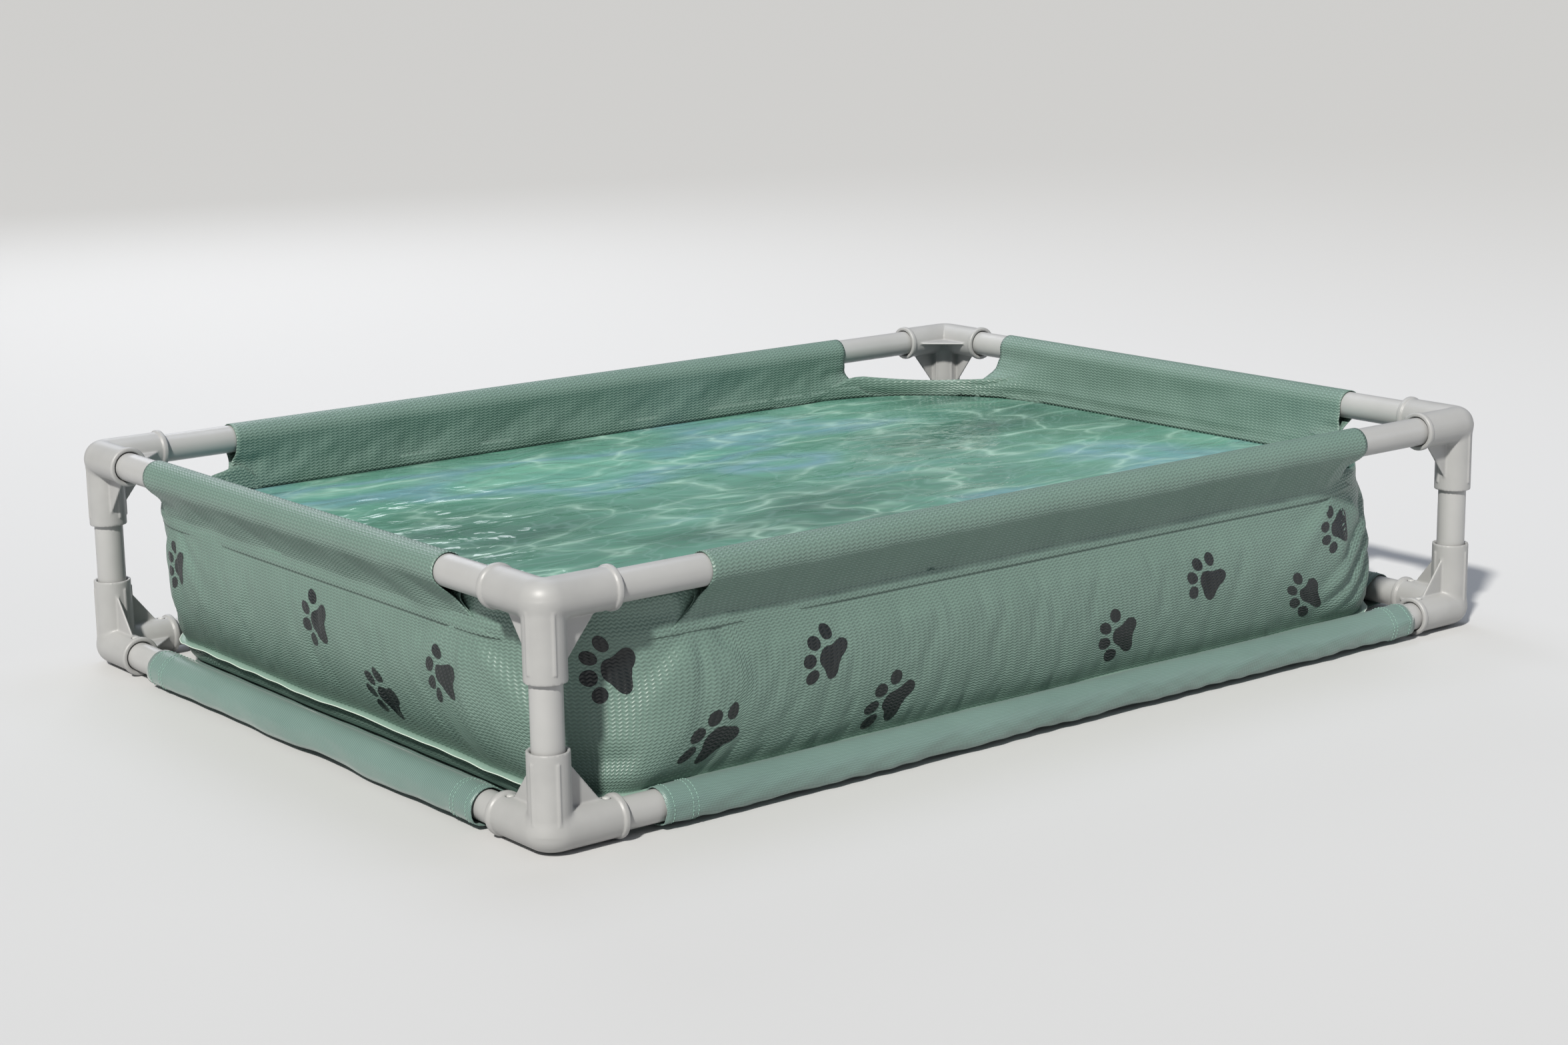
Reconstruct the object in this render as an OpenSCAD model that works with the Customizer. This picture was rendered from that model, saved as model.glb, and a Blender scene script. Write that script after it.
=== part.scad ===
// Pet bathtub: a welded PVC tub and a woven base sheet on a frame of push-together tubes.
// X runs along the long side, Y along the short side and Z up from the ground.
// The origin is on the ground, under the middle of the frame.

/* [Frame] */
// Distance between the axes of the two short sides' rails
frame_l = 1000; // [900:10:1200]
// Distance between the axes of the two long sides' rails
frame_w = 706; // [600:2:800]
// Distance from the axis of a lower rail to the axis of the upper one
frame_h = 171; // [160:1:240]
// Outer diameter of every tube
tube_d = 25; // [24:0.5:26]
// Wall thickness of every tube
tube_wall = 1.5; // [1.2:0.1:1.8]

/* [Corner fittings] */
// From a corner to the mouth of each socket
socket_len = 60; // [56:1:66]
// Outer radius of the two horizontal sockets
socket_r = 15.75; // [15.25:0.25:16.5]
// Outer radius of the leg socket
leg_socket_r = 16.25; // [15.75:0.25:16.75]
// Radius of the ring round each horizontal mouth
collar_r = 17.25; // [17:0.25:18]
// Radius of the bend's centre line in plan
bend_r = 8; // [7:0.5:10]
// How far the leg's axis stands inside the rails' axes
leg_inset = 3.2; // [2.5:0.1:4]
// Thickness of the webs between the sockets
web_t = 2; // [1.6:0.1:2.4]

/* [Snap buttons] */
// Radius of a snap button
button_r = 3; // [2.8:0.1:3.2]
// How far a button moves in to let its tube go
button_travel = 4; // [4:0.1:4.4]

/* [Tub] */
// Thickness of the coated fabric
fabric_t = 1.2; // [1:0.1:1.4]
// Bare end of the upper long rails, from the corner to the tub's sleeve
sleeve_gap_long = 141; // [125:1:150]
// Bare end of the upper short rails, from the corner to the tub's sleeve
sleeve_gap_short = 118; // [110:1:130]
// How far the foot of a long wall stands inside its rails' axes
foot_inset_long = 15.5; // [15.5:0.5:20]
// How far the foot of the left wall stands inside its rails' axes
foot_inset_left = 39; // [30:1:45]
// How far the foot of the right wall stands inside its rails' axes
foot_inset_right = 60; // [45:1:65]
// Plan radius of the tub's corners at the floor
tub_corner_r = 45; // [40:1:60]
// Depth of the tub's rim below the upper rails' axes at a corner
rim_dip = 43; // [40:1:50]

/* [Base sheet] */
// Bare end of the lower rails, from the corner to the base sheet's sleeve
base_gap = 88; // [80:1:95]
// Thickness of the woven base sheet
base_t = 1; // [0.8:0.1:1.2]

/* [Hidden] */

$fn = 48;
join = 0.01;            // overlap that makes two shapes one
half_l = frame_l / 2;
half_w = frame_w / 2;
tube_r = tube_d / 2;
tube_in_r = tube_r - tube_wall;
low_z = collar_r;       // height of the lower rails' axes
top_z = low_z + frame_h;

// corner fittings
bore_r = tube_r + 0.45;         // loose push fit
mouth_r = bore_r + 0.8;         // widened lip of each bore
mouth_w = 2;
stop_at = 22;                   // from the corner to the step that stops a tube
core_r = tube_in_r - 0.2;       // hollow behind the step
collar_w = 4.5;
collar_round = 0.8;
web_reach = 45;                 // how far an upright web runs along its rail
web_rise = 48;                  // and up the leg socket
plate_reach = 50;               // how far the flat web runs along both rails
web_sunk = 1;                   // how deep a web's tip starts inside a socket's surface
rib_w = 2.4;
rib_out = 0.9;
rib_start = 7;                  // above the rails' axes
rib_len = 46;
rib_angles = [225 - 37, 225 + 37, 45 - 30, 45 + 30];

// snap buttons and their springs
button_at = 50;                 // from the corner to the button's axis
button_top = socket_r + 0.6;    // above the rail's axis
button_round = 1;
button_fit = 0.08;
flange_r = 4.2;
flange_t = 0.8;
flange_top = sqrt(pow(tube_in_r, 2) - pow(flange_r, 2)) - 0.15;
strip_t = 0.6;
strip_w = 6;
strip_run = 34;                 // from the button to the spring's bend
strip_bend_r = 3.5;
pad = 5.5;                      // half the flat length under the button
leaf_z = flange_top - flange_t - 0.05 - strip_t;
foot_z = 0.1 - sqrt(pow(tube_in_r, 2) - pow(strip_w / 2, 2));

// tub
sleeve_in_r = tube_r + 0.2;
sleeve_out_r = sleeve_in_r + fabric_t;
floor_z = base_t + 0.1;
wall_z = floor_z + fabric_t;    // the walls stand on the floor's edge
wall_meets = 30;                // how far round under its rail a wall joins its sleeve
wall_tuck = 3;                  // how far its curved edge stops short of the sleeve's end
wall_off = (sleeve_in_r + sleeve_out_r) / 2 * cos(wall_meets);
wall_top_z = top_z - (sleeve_in_r + sleeve_out_r) / 2 * sin(wall_meets);
rim_z = top_z - rim_dip;
corner_growth = 80;             // how much wider a tub corner's radius is at the rails
corner_steps = 8;

// base sheet
base_sleeve_in_r = tube_r + 0.2;
base_sleeve_out_r = base_sleeve_in_r + base_t;
base_flap_short = 34;           // from a short rail's axis to where the sheet meets the ground
base_flap_long = 14;

// drain
drain_y = half_w - 150;
drain_z = wall_z + 56;
drain_bore_r = 9;
drain_wall = 2.2;
drain_flange_r = 22;
drain_flange_t = 1.6;
drain_out = 22;                 // from the wall to the spout's mouth
plug_r = drain_bore_r + drain_wall + 1.2;
plug_fit = 0.06;
plug_in = 12;

// ---- shapes that repeat ----

// Turns a shape made for the front left corner to the corner at the signs sx and sy.
// side is 1 where the leg goes up and -1 where it goes down.
module at_corner(sx, sy, side) {
    translate([sx * half_l, sy * half_w, side > 0 ? low_z : top_z])
        mirror([sx > 0 ? 1 : 0, 0, 0])
            mirror([0, sy > 0 ? 1 : 0, 0])
                mirror([0, 0, side < 0 ? 1 : 0])
                    children();
}

module ring(r_out, r_in, h) {
    difference() {
        cylinder(r = r_out, h = h);
        translate([0, 0, -1]) cylinder(r = r_in, h = h + 2);
    }
}

module tube(len) { ring(tube_r, tube_in_r, len); }

// Ring round a socket's mouth with its outer edges taken off, from z = 0 up
module collar() {
    rotate_extrude() polygon([[0, 0], [collar_r - collar_round, 0], [collar_r, collar_round],
        [collar_r, collar_w - collar_round], [collar_r - collar_round, collar_w], [0, collar_w]]);
}

// ---- corner fitting ----

module socket_outside() {
    translate([0, 0, bend_r]) cylinder(r = socket_r, h = socket_len - bend_r - 1);
    translate([0, 0, socket_len - collar_w]) collar();
}

module socket_inside(r) {
    translate([0, 0, stop_at]) cylinder(r = bore_r, h = socket_len);
    translate([0, 0, socket_len - mouth_w]) cylinder(r1 = bore_r, r2 = mouth_r, h = mouth_w + join);
    translate([0, 0, -core_r / 2]) cylinder(r = r, h = socket_len);
}

// Outer part of the plan bend: a quarter of a ring whose inner side is cut off at its axis
module bend() {
    translate([bend_r, bend_r, 0]) rotate([0, 0, 180]) rotate_extrude(angle = 90)
        intersection() {
            translate([bend_r, 0]) circle(r = socket_r);
            translate([0, -socket_r]) square([bend_r + socket_r, 2 * socket_r]);
        }
}

// Upright web between the leg socket and the socket along X
module upright_web() {
    translate([0, web_t / 2, 0]) rotate([90, 0, 0]) linear_extrude(web_t)
        polygon([[0, 0], [web_reach, 0], [web_reach, socket_r - web_sunk],
                 [leg_inset + leg_socket_r - web_sunk, web_rise], [leg_inset, web_rise]]);
}

module flat_web() {
    translate([0, 0, -web_t / 2]) linear_extrude(web_t)
        polygon([[0, 0], [plate_reach, 0], [plate_reach, socket_r - web_sunk],
                 [socket_r - web_sunk, plate_reach], [0, plate_reach]]);
}

module corner_body() {
    rotate([0, 90, 0]) socket_outside();
    rotate([-90, 0, 0]) socket_outside();
    bend();
    translate([leg_inset, leg_inset, 0]) {
        cylinder(r = leg_socket_r, h = socket_len);
        for (a = rib_angles)
            rotate([0, 0, a]) translate([leg_socket_r - 2, -rib_w / 2, rib_start])
                cube([2 + rib_out, rib_w, rib_len]);
    }
    upright_web();
    mirror([1, -1, 0]) upright_web();
    flat_web();
}

module corner_fitting(sx, sy, side) {
    color("#c3c1be") at_corner(sx, sy, side) difference() {
        corner_body();
        rotate([0, 90, 0]) socket_inside(core_r);
        rotate([-90, 0, 0]) socket_inside(core_r - 0.3);
        translate([leg_inset, leg_inset, 0]) socket_inside(core_r - 0.6);
        for (p = [[button_at, 0], [0, button_at]])
            translate([p[0], p[1], 0]) cylinder(r = button_r + 0.4, h = collar_r + 5);
    }
}

// ---- tubes ----

module leg(sx, sy) {
    color("#c9c7c5")
        translate([sx * (half_l - leg_inset), sy * (half_w - leg_inset), low_z + stop_at])
            tube(frame_h - 2 * stop_at);
}

// Rail along X centred on its own middle, its button holes on the side up
module rail_shape(span, up) {
    len = span - 2 * stop_at;
    difference() {
        translate([-len / 2, 0, 0]) rotate([0, 90, 0]) tube(len);
        for (s = [-1, 1])
            translate([s * (span / 2 - button_at), 0, up > 0 ? 0 : -tube_d])
                cylinder(r = button_r + button_fit, h = tube_d);
    }
}

module long_rail(sy, side) {
    color("#c9c7c5") translate([0, sy * half_w, side > 0 ? low_z : top_z])
        rail_shape(frame_l, side);
}

module short_rail(sx, side) {
    color("#c9c7c5") translate([sx * half_l, 0, side > 0 ? low_z : top_z])
        rotate([0, 0, 90]) rail_shape(frame_w, side);
}

// ---- snap buttons ----

module button_shape() {
    head_z = button_top - button_round;
    translate([0, 0, flange_top - flange_t]) cylinder(r = flange_r, h = flange_t);
    translate([0, 0, flange_top - join]) cylinder(r = button_r, h = head_z - flange_top + join);
    translate([0, 0, head_z - join])
        cylinder(r1 = button_r, r2 = button_r - button_round, h = button_round);
}

module long_button(sx, sy, side) {
    color("#dcdad6") at_corner(sx, sy, side) translate([button_at, 0, 0]) button_shape();
}

module short_button(sx, sy, side) {
    color("#dcdad6") at_corner(sx, sy, side) translate([0, button_at, 0]) button_shape();
}

// Leaf spring: a strip bent to a V, flat under the button and flat on the tube's far wall.
// x runs from the button's axis to the bend.
module spring_profile() {
    for (z = [leaf_z, foot_z]) translate([-pad, z]) square([2 * pad + join, strip_t]);
    polygon([[pad, leaf_z], [strip_run, strip_bend_r - strip_t],
             [strip_run, strip_bend_r], [pad, leaf_z + strip_t]]);
    polygon([[pad, foot_z], [strip_run, -strip_bend_r],
             [strip_run, strip_t - strip_bend_r], [pad, foot_z + strip_t]]);
    intersection() {
        translate([strip_run, 0]) difference() {
            circle(r = strip_bend_r);
            circle(r = strip_bend_r - strip_t);
        }
        translate([strip_run - join, -strip_bend_r]) square(2 * strip_bend_r);
    }
}

// Both springs of one rail, for a rail along X
module spring_pair(span, up) {
    mirror([0, 0, up > 0 ? 0 : 1]) for (s = [0, 1]) mirror([s, 0, 0])
        translate([-span / 2 + button_at, strip_w / 2, 0]) rotate([90, 0, 0])
            linear_extrude(strip_w) spring_profile();
}

module long_springs(sy, side) {
    color("#9a9c9e") translate([0, sy * half_w, side > 0 ? low_z : top_z])
        spring_pair(frame_l, side);
}

module short_springs(sx, side) {
    color("#9a9c9e") translate([sx * half_l, 0, side > 0 ? low_z : top_z])
        rotate([0, 0, 90]) spring_pair(frame_w, side);
}

// ---- tub ----

module rounded_plate(x, y, r) {
    square([2 * x, 2 * (y - r)], center = true);
    square([2 * (x - r), 2 * y], center = true);
    for (sx = [-1, 1], sy = [-1, 1]) translate([sx * (x - r), sy * (y - r)]) circle(r = r);
}

module tub_floor() {
    color("#6f8c7f") translate([(foot_inset_left - foot_inset_right) / 2, 0, floor_z])
        linear_extrude(fabric_t) rounded_plate(
            half_l - (foot_inset_left + foot_inset_right) / 2 + fabric_t / 2,
            half_w - foot_inset_long + fabric_t / 2, tub_corner_r);
}

// How far up the wall a height is, from 0 at its foot to 1 at the upper rails' axes
function share(z) = (z - wall_z) / (wall_top_z - wall_z);
function lean_of(foot) = atan((foot - wall_off) / (wall_top_z - wall_z));
function inset(foot, z) = foot + (wall_off - foot) * share(z);
function corner_r(z) = tub_corner_r + corner_growth * share(z);
function lift(lean) = fabric_t / 2 * tan(lean);   // keeps a leaning wall's lower edge off the floor
function foot_at(sx) = sx > 0 ? foot_inset_right : foot_inset_left;

// Half outline of a wall, in the wall's own plane: foot, end, curved rim and sleeve
function wall_half(foot_end, lift, rim_end, sleeve_end, height, rim_height) = concat(
    [[foot_end, lift], [rim_end, rim_height]],
    [for (a = [15:15:75]) [
        sleeve_end + (rim_end - sleeve_end) * (1 - sin(a)),
        height - (height - rim_height) * cos(a)]],
    [[sleeve_end, height]]);

function flipped(points) = [for (i = [len(points) - 1:-1:0]) [-points[i][0], points[i][1]]];

// A wall along X that stands on its foot line and leans out to its rail at -Y
module leaning_wall(outline, lean) {
    rotate([90 + lean, 0, 0]) translate([0, 0, -fabric_t / 2])
        linear_extrude(fabric_t) polygon(outline);
}

module sleeve(len, r_out, r_in) {
    translate([-len / 2, 0, 0]) rotate([0, 90, 0]) ring(r_out, r_in, len);
}

module long_wall(sy) {
    lean = lean_of(foot_inset_long);
    up = 1 / cos(lean);
    halves = [for (sx = [-1, 1]) wall_half(
        half_l - foot_at(sx) - tub_corner_r, lift(lean),
        half_l - inset(foot_at(sx), rim_z) - corner_r(rim_z),
        half_l - sleeve_gap_long - wall_tuck,
        (wall_top_z - wall_z) * up, (rim_z - wall_z) * up)];
    color("#7d9a8c") mirror([0, sy > 0 ? 1 : 0, 0]) {
        translate([0, foot_inset_long - half_w, wall_z])
            leaning_wall(concat(halves[1], flipped(halves[0])), lean);
        translate([0, -half_w, top_z])
            sleeve(frame_l - 2 * sleeve_gap_long, sleeve_out_r, sleeve_in_r);
    }
}

module short_wall(sx) {
    lean = lean_of(foot_at(sx));
    up = 1 / cos(lean);
    half = wall_half(half_w - foot_inset_long - tub_corner_r, lift(lean),
        half_w - inset(foot_inset_long, rim_z) - corner_r(rim_z),
        half_w - sleeve_gap_short - wall_tuck,
        (wall_top_z - wall_z) * up, (rim_z - wall_z) * up);
    color("#7d9a8c") rotate([0, 0, sx > 0 ? 90 : -90]) {
        translate([0, foot_at(sx) - half_l, wall_z])
            leaning_wall(concat(half, flipped(half)), lean);
        translate([0, -half_l, top_z])
            sleeve(frame_w - 2 * sleeve_gap_short, sleeve_out_r, sleeve_in_r);
    }
}

// The drain's side, with the hole that its spout opens through
module drain_wall_side() {
    difference() {
        short_wall(1);
        at_drain() translate([0, 0, -10]) cylinder(r = drain_bore_r, h = 20);
    }
}

// Rounded corner of the tub, ruled from its arc at the floor to its arc at the rim
function corner_point(foot, z, a, inward) = let (r = corner_r(z)) [
    half_l - inset(foot, z) - r + (r - inward) * cos(a),
    half_w - inset(foot_inset_long, z) - r + (r - inward) * sin(a), z];

module tub_corner(sx, sy) {
    n = corner_steps;
    rows = [[wall_z, -fabric_t / 2], [rim_z, -fabric_t / 2],
            [rim_z, fabric_t / 2], [wall_z, fabric_t / 2]];
    points = [for (i = [0:n], q = rows) corner_point(foot_at(sx), q[0], 90 * i / n, q[1])];
    faces = concat([[0, 1, 2, 3]], [[4 * n + 3, 4 * n + 2, 4 * n + 1, 4 * n]],
        [for (i = [0:n - 1], k = [0:3])
            [4 * i + k, 4 * i + 4 + k, 4 * i + 4 + (k + 1) % 4, 4 * i + (k + 1) % 4]]);
    color("#7d9a8c") mirror([sx < 0 ? 1 : 0, 0, 0]) mirror([0, sy < 0 ? 1 : 0, 0])
        polyhedron(points, faces);
}

// ---- base sheet ----

module base_sheet() {
    color("#6d8f89") linear_extrude(base_t) difference() {
        square([2 * (half_l - base_flap_short), 2 * (half_w - base_flap_long)], center = true);
        for (sx = [-1, 1], sy = [-1, 1])
            translate([sx * half_l, sy * half_w]) circle(r = base_gap);
    }
}

// Sleeve round a lower rail with the flap that runs down to the sheet on the ground
module base_sleeve(len, flap) {
    color("#5f837e") {
        sleeve(len, base_sleeve_out_r, base_sleeve_in_r);
        rotate([90, 0, 90]) translate([0, 0, -len / 2]) linear_extrude(len)
            polygon([[0, -base_sleeve_out_r], [flap, -low_z], [flap, base_t - low_z],
                     [0, base_t * 0.9 - base_sleeve_out_r]]);
    }
}

module long_base_sleeve(sy) {
    rotate([0, 0, sy > 0 ? 180 : 0]) translate([0, -half_w, low_z])
        base_sleeve(frame_l - 2 * base_gap, base_flap_long);
}

module short_base_sleeve(sx) {
    rotate([0, 0, sx > 0 ? 90 : -90]) translate([0, -half_l, low_z])
        base_sleeve(frame_w - 2 * base_gap, base_flap_short);
}

// ---- drain ----

// Turns a shape along +Z so that it stands out of the right wall at the drain
module at_drain() {
    translate([half_l - inset(foot_inset_right, drain_z), drain_y, drain_z])
        rotate([0, 90 + lean_of(foot_inset_right), 0])
            translate([0, 0, fabric_t / 2]) children();
}

module drain_fitting() {
    color("#c3c1be") at_drain() {
        ring(drain_flange_r, drain_bore_r, drain_flange_t);
        ring(drain_bore_r + drain_wall, drain_bore_r, drain_out);
    }
}

module drain_plug() {
    color("#b5b3b0") at_drain() translate([0, 0, drain_out]) {
        cylinder(r = plug_r, h = 3);
        translate([0, 0, -plug_in]) cylinder(r = drain_bore_r - plug_fit, h = plug_in + join);
        translate([-1.5, -8, 3 - join]) cube([3, 16, 6]);
    }
}

corner_fitting(-1, -1, 1);  // corner_bottom_front_left
corner_fitting(1, -1, 1);  // corner_bottom_front_right
corner_fitting(-1, 1, 1);  // corner_bottom_back_left
corner_fitting(1, 1, 1);  // corner_bottom_back_right
corner_fitting(-1, -1, -1);  // corner_top_front_left
corner_fitting(1, -1, -1);  // corner_top_front_right
corner_fitting(-1, 1, -1);  // corner_top_back_left
corner_fitting(1, 1, -1);  // corner_top_back_right
leg(-1, -1);  // leg_front_left
leg(1, -1);  // leg_front_right
leg(-1, 1);  // leg_back_left
leg(1, 1);  // leg_back_right
long_rail(-1, 1);  // rail_bottom_front
long_rail(1, 1);  // rail_bottom_back
short_rail(-1, 1);  // rail_bottom_left
short_rail(1, 1);  // rail_bottom_right
long_rail(-1, -1);  // rail_top_front
long_rail(1, -1);  // rail_top_back
short_rail(-1, -1);  // rail_top_left
short_rail(1, -1);  // rail_top_right
long_button(-1, -1, 1);  // button_bottom_front_left
long_button(1, -1, 1);  // button_bottom_front_right
long_button(-1, 1, 1);  // button_bottom_back_left
long_button(1, 1, 1);  // button_bottom_back_right
short_button(-1, -1, 1);  // button_bottom_left_front
short_button(-1, 1, 1);  // button_bottom_left_back
short_button(1, -1, 1);  // button_bottom_right_front
short_button(1, 1, 1);  // button_bottom_right_back
long_button(-1, -1, -1);  // button_top_front_left
long_button(1, -1, -1);  // button_top_front_right
long_button(-1, 1, -1);  // button_top_back_left
long_button(1, 1, -1);  // button_top_back_right
short_button(-1, -1, -1);  // button_top_left_front
short_button(-1, 1, -1);  // button_top_left_back
short_button(1, -1, -1);  // button_top_right_front
short_button(1, 1, -1);  // button_top_right_back
long_springs(-1, 1);  // springs_bottom_front
long_springs(1, 1);  // springs_bottom_back
short_springs(-1, 1);  // springs_bottom_left
short_springs(1, 1);  // springs_bottom_right
long_springs(-1, -1);  // springs_top_front
long_springs(1, -1);  // springs_top_back
short_springs(-1, -1);  // springs_top_left
short_springs(1, -1);  // springs_top_right
tub_floor();
long_wall(-1);  // tub_wall_front
long_wall(1);  // tub_wall_back
short_wall(-1);  // tub_wall_left
drain_wall_side();  // tub_wall_right
tub_corner(-1, -1);  // tub_corner_front_left
tub_corner(1, -1);  // tub_corner_front_right
tub_corner(-1, 1);  // tub_corner_back_left
tub_corner(1, 1);  // tub_corner_back_right
base_sheet();
long_base_sleeve(-1);  // base_sleeve_front
long_base_sleeve(1);  // base_sleeve_back
short_base_sleeve(-1);  // base_sleeve_left
short_base_sleeve(1);  // base_sleeve_right
drain_fitting();
drain_plug();
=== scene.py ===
import math
import bmesh
import bpy
import numpy as np
import openvdb
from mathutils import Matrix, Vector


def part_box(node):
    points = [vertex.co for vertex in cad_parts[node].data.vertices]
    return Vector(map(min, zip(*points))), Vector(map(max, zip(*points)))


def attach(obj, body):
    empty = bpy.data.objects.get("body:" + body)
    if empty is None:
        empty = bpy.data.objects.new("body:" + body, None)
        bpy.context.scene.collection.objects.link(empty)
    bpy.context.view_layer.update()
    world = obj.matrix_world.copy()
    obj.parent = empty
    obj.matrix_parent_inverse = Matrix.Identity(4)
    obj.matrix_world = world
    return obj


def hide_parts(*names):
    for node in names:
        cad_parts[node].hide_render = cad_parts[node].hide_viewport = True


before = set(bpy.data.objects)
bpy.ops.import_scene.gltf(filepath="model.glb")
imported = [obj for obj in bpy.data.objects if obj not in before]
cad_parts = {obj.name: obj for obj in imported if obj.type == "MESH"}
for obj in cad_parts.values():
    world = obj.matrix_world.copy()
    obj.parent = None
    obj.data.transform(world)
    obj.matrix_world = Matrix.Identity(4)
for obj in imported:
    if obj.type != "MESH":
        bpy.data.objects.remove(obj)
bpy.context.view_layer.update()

# where the frame stands, read from the tubes' own boxes, in metres
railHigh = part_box("rail_top_front")
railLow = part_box("rail_bottom_front")
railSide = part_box("rail_top_right")
halfLength = (railSide[0].x + railSide[1].x) / 2      # rail axis to the middle
halfWidth = -(railHigh[0].y + railHigh[1].y) / 2
highZ = (railHigh[0].z + railHigh[1].z) / 2
lowZ = (railLow[0].z + railLow[1].z) / 2
tubeRadius = (railHigh[1].z - railHigh[0].z) / 2
halfSpan = {"front": halfLength, "back": halfLength, "left": halfWidth, "right": halfWidth}
ends = {"front": ("left", "right"), "right": ("front", "back"),
        "back": ("right", "left"), "left": ("back", "front")}   # going round seen from above


# Small tools

def linear(text):            # sRGB hex to the linear colour that a shader wants
    parts = [int(text[i:i + 2], 16) / 255 for i in (1, 3, 5)]
    return [c / 12.92 if c <= 0.04045 else ((c + 0.055) / 1.055) ** 2.4 for c in parts] + [1.0]


def addNode(tree, kind, settings=None, inputs=None):
    node = tree.nodes.new(kind)
    for key, value in (settings or {}).items():
        setattr(node, key, value)
    for key, value in (inputs or {}).items():
        if isinstance(value, bpy.types.NodeSocket):
            tree.links.new(value, node.inputs[key])
        else:
            node.inputs[key].default_value = value
    return node


def newMaterial(name, colour, roughness, **sockets):
    material = bpy.data.materials.new(name)
    material.use_nodes = True
    tree = material.node_tree
    tree.nodes.clear()
    shader = addNode(tree, "ShaderNodeBsdfPrincipled")
    shader.inputs["Base Color"].default_value = linear(colour)
    shader.inputs["Roughness"].default_value = roughness
    for key, value in sockets.items():
        shader.inputs[key.replace("_", " ")].default_value = value
    addNode(tree, "ShaderNodeOutputMaterial", inputs={"Surface": shader.outputs[0]})
    return material, tree, shader


def colourRamp(tree, factor, stops):     # stops are (position, hex)
    ramp = addNode(tree, "ShaderNodeValToRGB", inputs={"Fac": factor})
    points = ramp.color_ramp.elements
    while len(points) < len(stops):
        points.new(0.5)
    for point, (place, text) in zip(points, stops):
        point.position = place
        point.color = linear(text)
    return ramp.outputs["Color"]


def formula(tree, operation, *values, clamp=False):
    inputs = {i: v for i, v in enumerate(values)}
    return addNode(tree, "ShaderNodeMath", {"operation": operation, "use_clamp": clamp},
                   inputs).outputs[0]


def smoothstep(x, low, high):
    t = np.clip((x - low) / (high - low), 0, 1)
    return t * t * (3 - 2 * t)


def alongCurve(knots, x):      # a smooth curve through a few (x, y) pairs, by cubic Hermite pieces
    k = np.array(knots, float)
    order = np.argsort(k[:, 0])
    kx, ky = k[order, 0], k[order, 1]
    slope = np.gradient(ky, kx)
    i = np.clip(np.searchsorted(kx, x) - 1, 0, len(kx) - 2)
    step = kx[i + 1] - kx[i]
    t = np.clip((x - kx[i]) / step, 0, 1)
    return ((2 * t**3 - 3 * t**2 + 1) * ky[i] + (t**3 - 2 * t**2 + t) * step * slope[i]
            + (3 * t**2 - 2 * t**3) * ky[i + 1] + (t**3 - t**2) * step * slope[i + 1])


# slow random waves: a sum of sines with seeded directions, wavelengths in metres
def ripples(x, y, wavelength, count, seed):
    pick = np.random.default_rng(seed)
    angle = pick.uniform(0, 2 * np.pi, count)
    length = wavelength * pick.uniform(0.6, 1.7, count)
    phase = pick.uniform(0, 2 * np.pi, count)
    total = np.zeros(np.broadcast(x, y).shape)
    for a, l, p in zip(angle, length, phase):
        total = total + np.sin(2 * np.pi * (x * np.cos(a) + y * np.sin(a)) / l + p)
    return total / math.sqrt(count)


# faces of a rows x columns grid of points, either way round closed if asked
def gridFaces(rows, columns, closeRows=False, closeColumns=False):
    r = np.arange(rows if closeRows else rows - 1)
    c = np.arange(columns if closeColumns else columns - 1)
    rr, cc = np.meshgrid(r, c, indexing="ij")
    nextR, nextC = (rr + 1) % rows, (cc + 1) % columns
    faces = np.stack([rr * columns + cc, rr * columns + nextC,
                      nextR * columns + nextC, nextR * columns + cc], -1)
    corners = np.stack([np.stack([rr, cc], -1), np.stack([rr, cc + 1], -1),
                        np.stack([rr + 1, cc + 1], -1), np.stack([rr + 1, cc], -1)], -2)
    return faces.reshape(-1, 4), corners.reshape(-1, 4, 2)


# makes a piece from arrays, merges its poles and seams, turns a closed one's faces outwards
def addPiece(name, points, faces, material, uv=None, body="frame", replaces=(),
             closed=True):
    mesh = bpy.data.meshes.new(name)
    points = np.asarray(points, np.float32).reshape(-1, 3)
    mesh.vertices.add(len(points))
    mesh.vertices.foreach_set("co", points.ravel())
    size = faces.shape[1]
    mesh.loops.add(faces.size)
    mesh.loops.foreach_set("vertex_index", faces.astype(np.int32).ravel())
    mesh.polygons.add(len(faces))
    mesh.polygons.foreach_set("loop_start", np.arange(0, faces.size, size, dtype=np.int32))
    if uv is not None:
        layer = mesh.uv_layers.new(name="cloth")
        layer.data.foreach_set("uv", np.asarray(uv, np.float32).ravel())
    mesh.update(calc_edges=True)
    work = bmesh.new()
    work.from_mesh(mesh)
    bmesh.ops.remove_doubles(work, verts=work.verts, dist=2e-6)
    bmesh.ops.dissolve_degenerate(work, edges=work.edges, dist=1e-7)
    if closed:
        bmesh.ops.recalc_face_normals(work, faces=work.faces)
    work.to_mesh(mesh)
    work.free()
    mesh.polygons.foreach_set("use_smooth", np.ones(len(mesh.polygons), bool))
    mesh.materials.append(material)
    piece = bpy.data.objects.new(name, mesh)
    bpy.context.scene.collection.objects.link(piece)
    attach(piece, body)
    if replaces:
        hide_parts(*replaces)
    return piece


def thicken(piece, thickness, offset=0.0):    # a cloth gets its two faces and a rim
    solid = piece.modifiers.new("thickness", "SOLIDIFY")
    solid.thickness = thickness
    solid.offset = offset
    solid.use_even_offset = False


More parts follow.
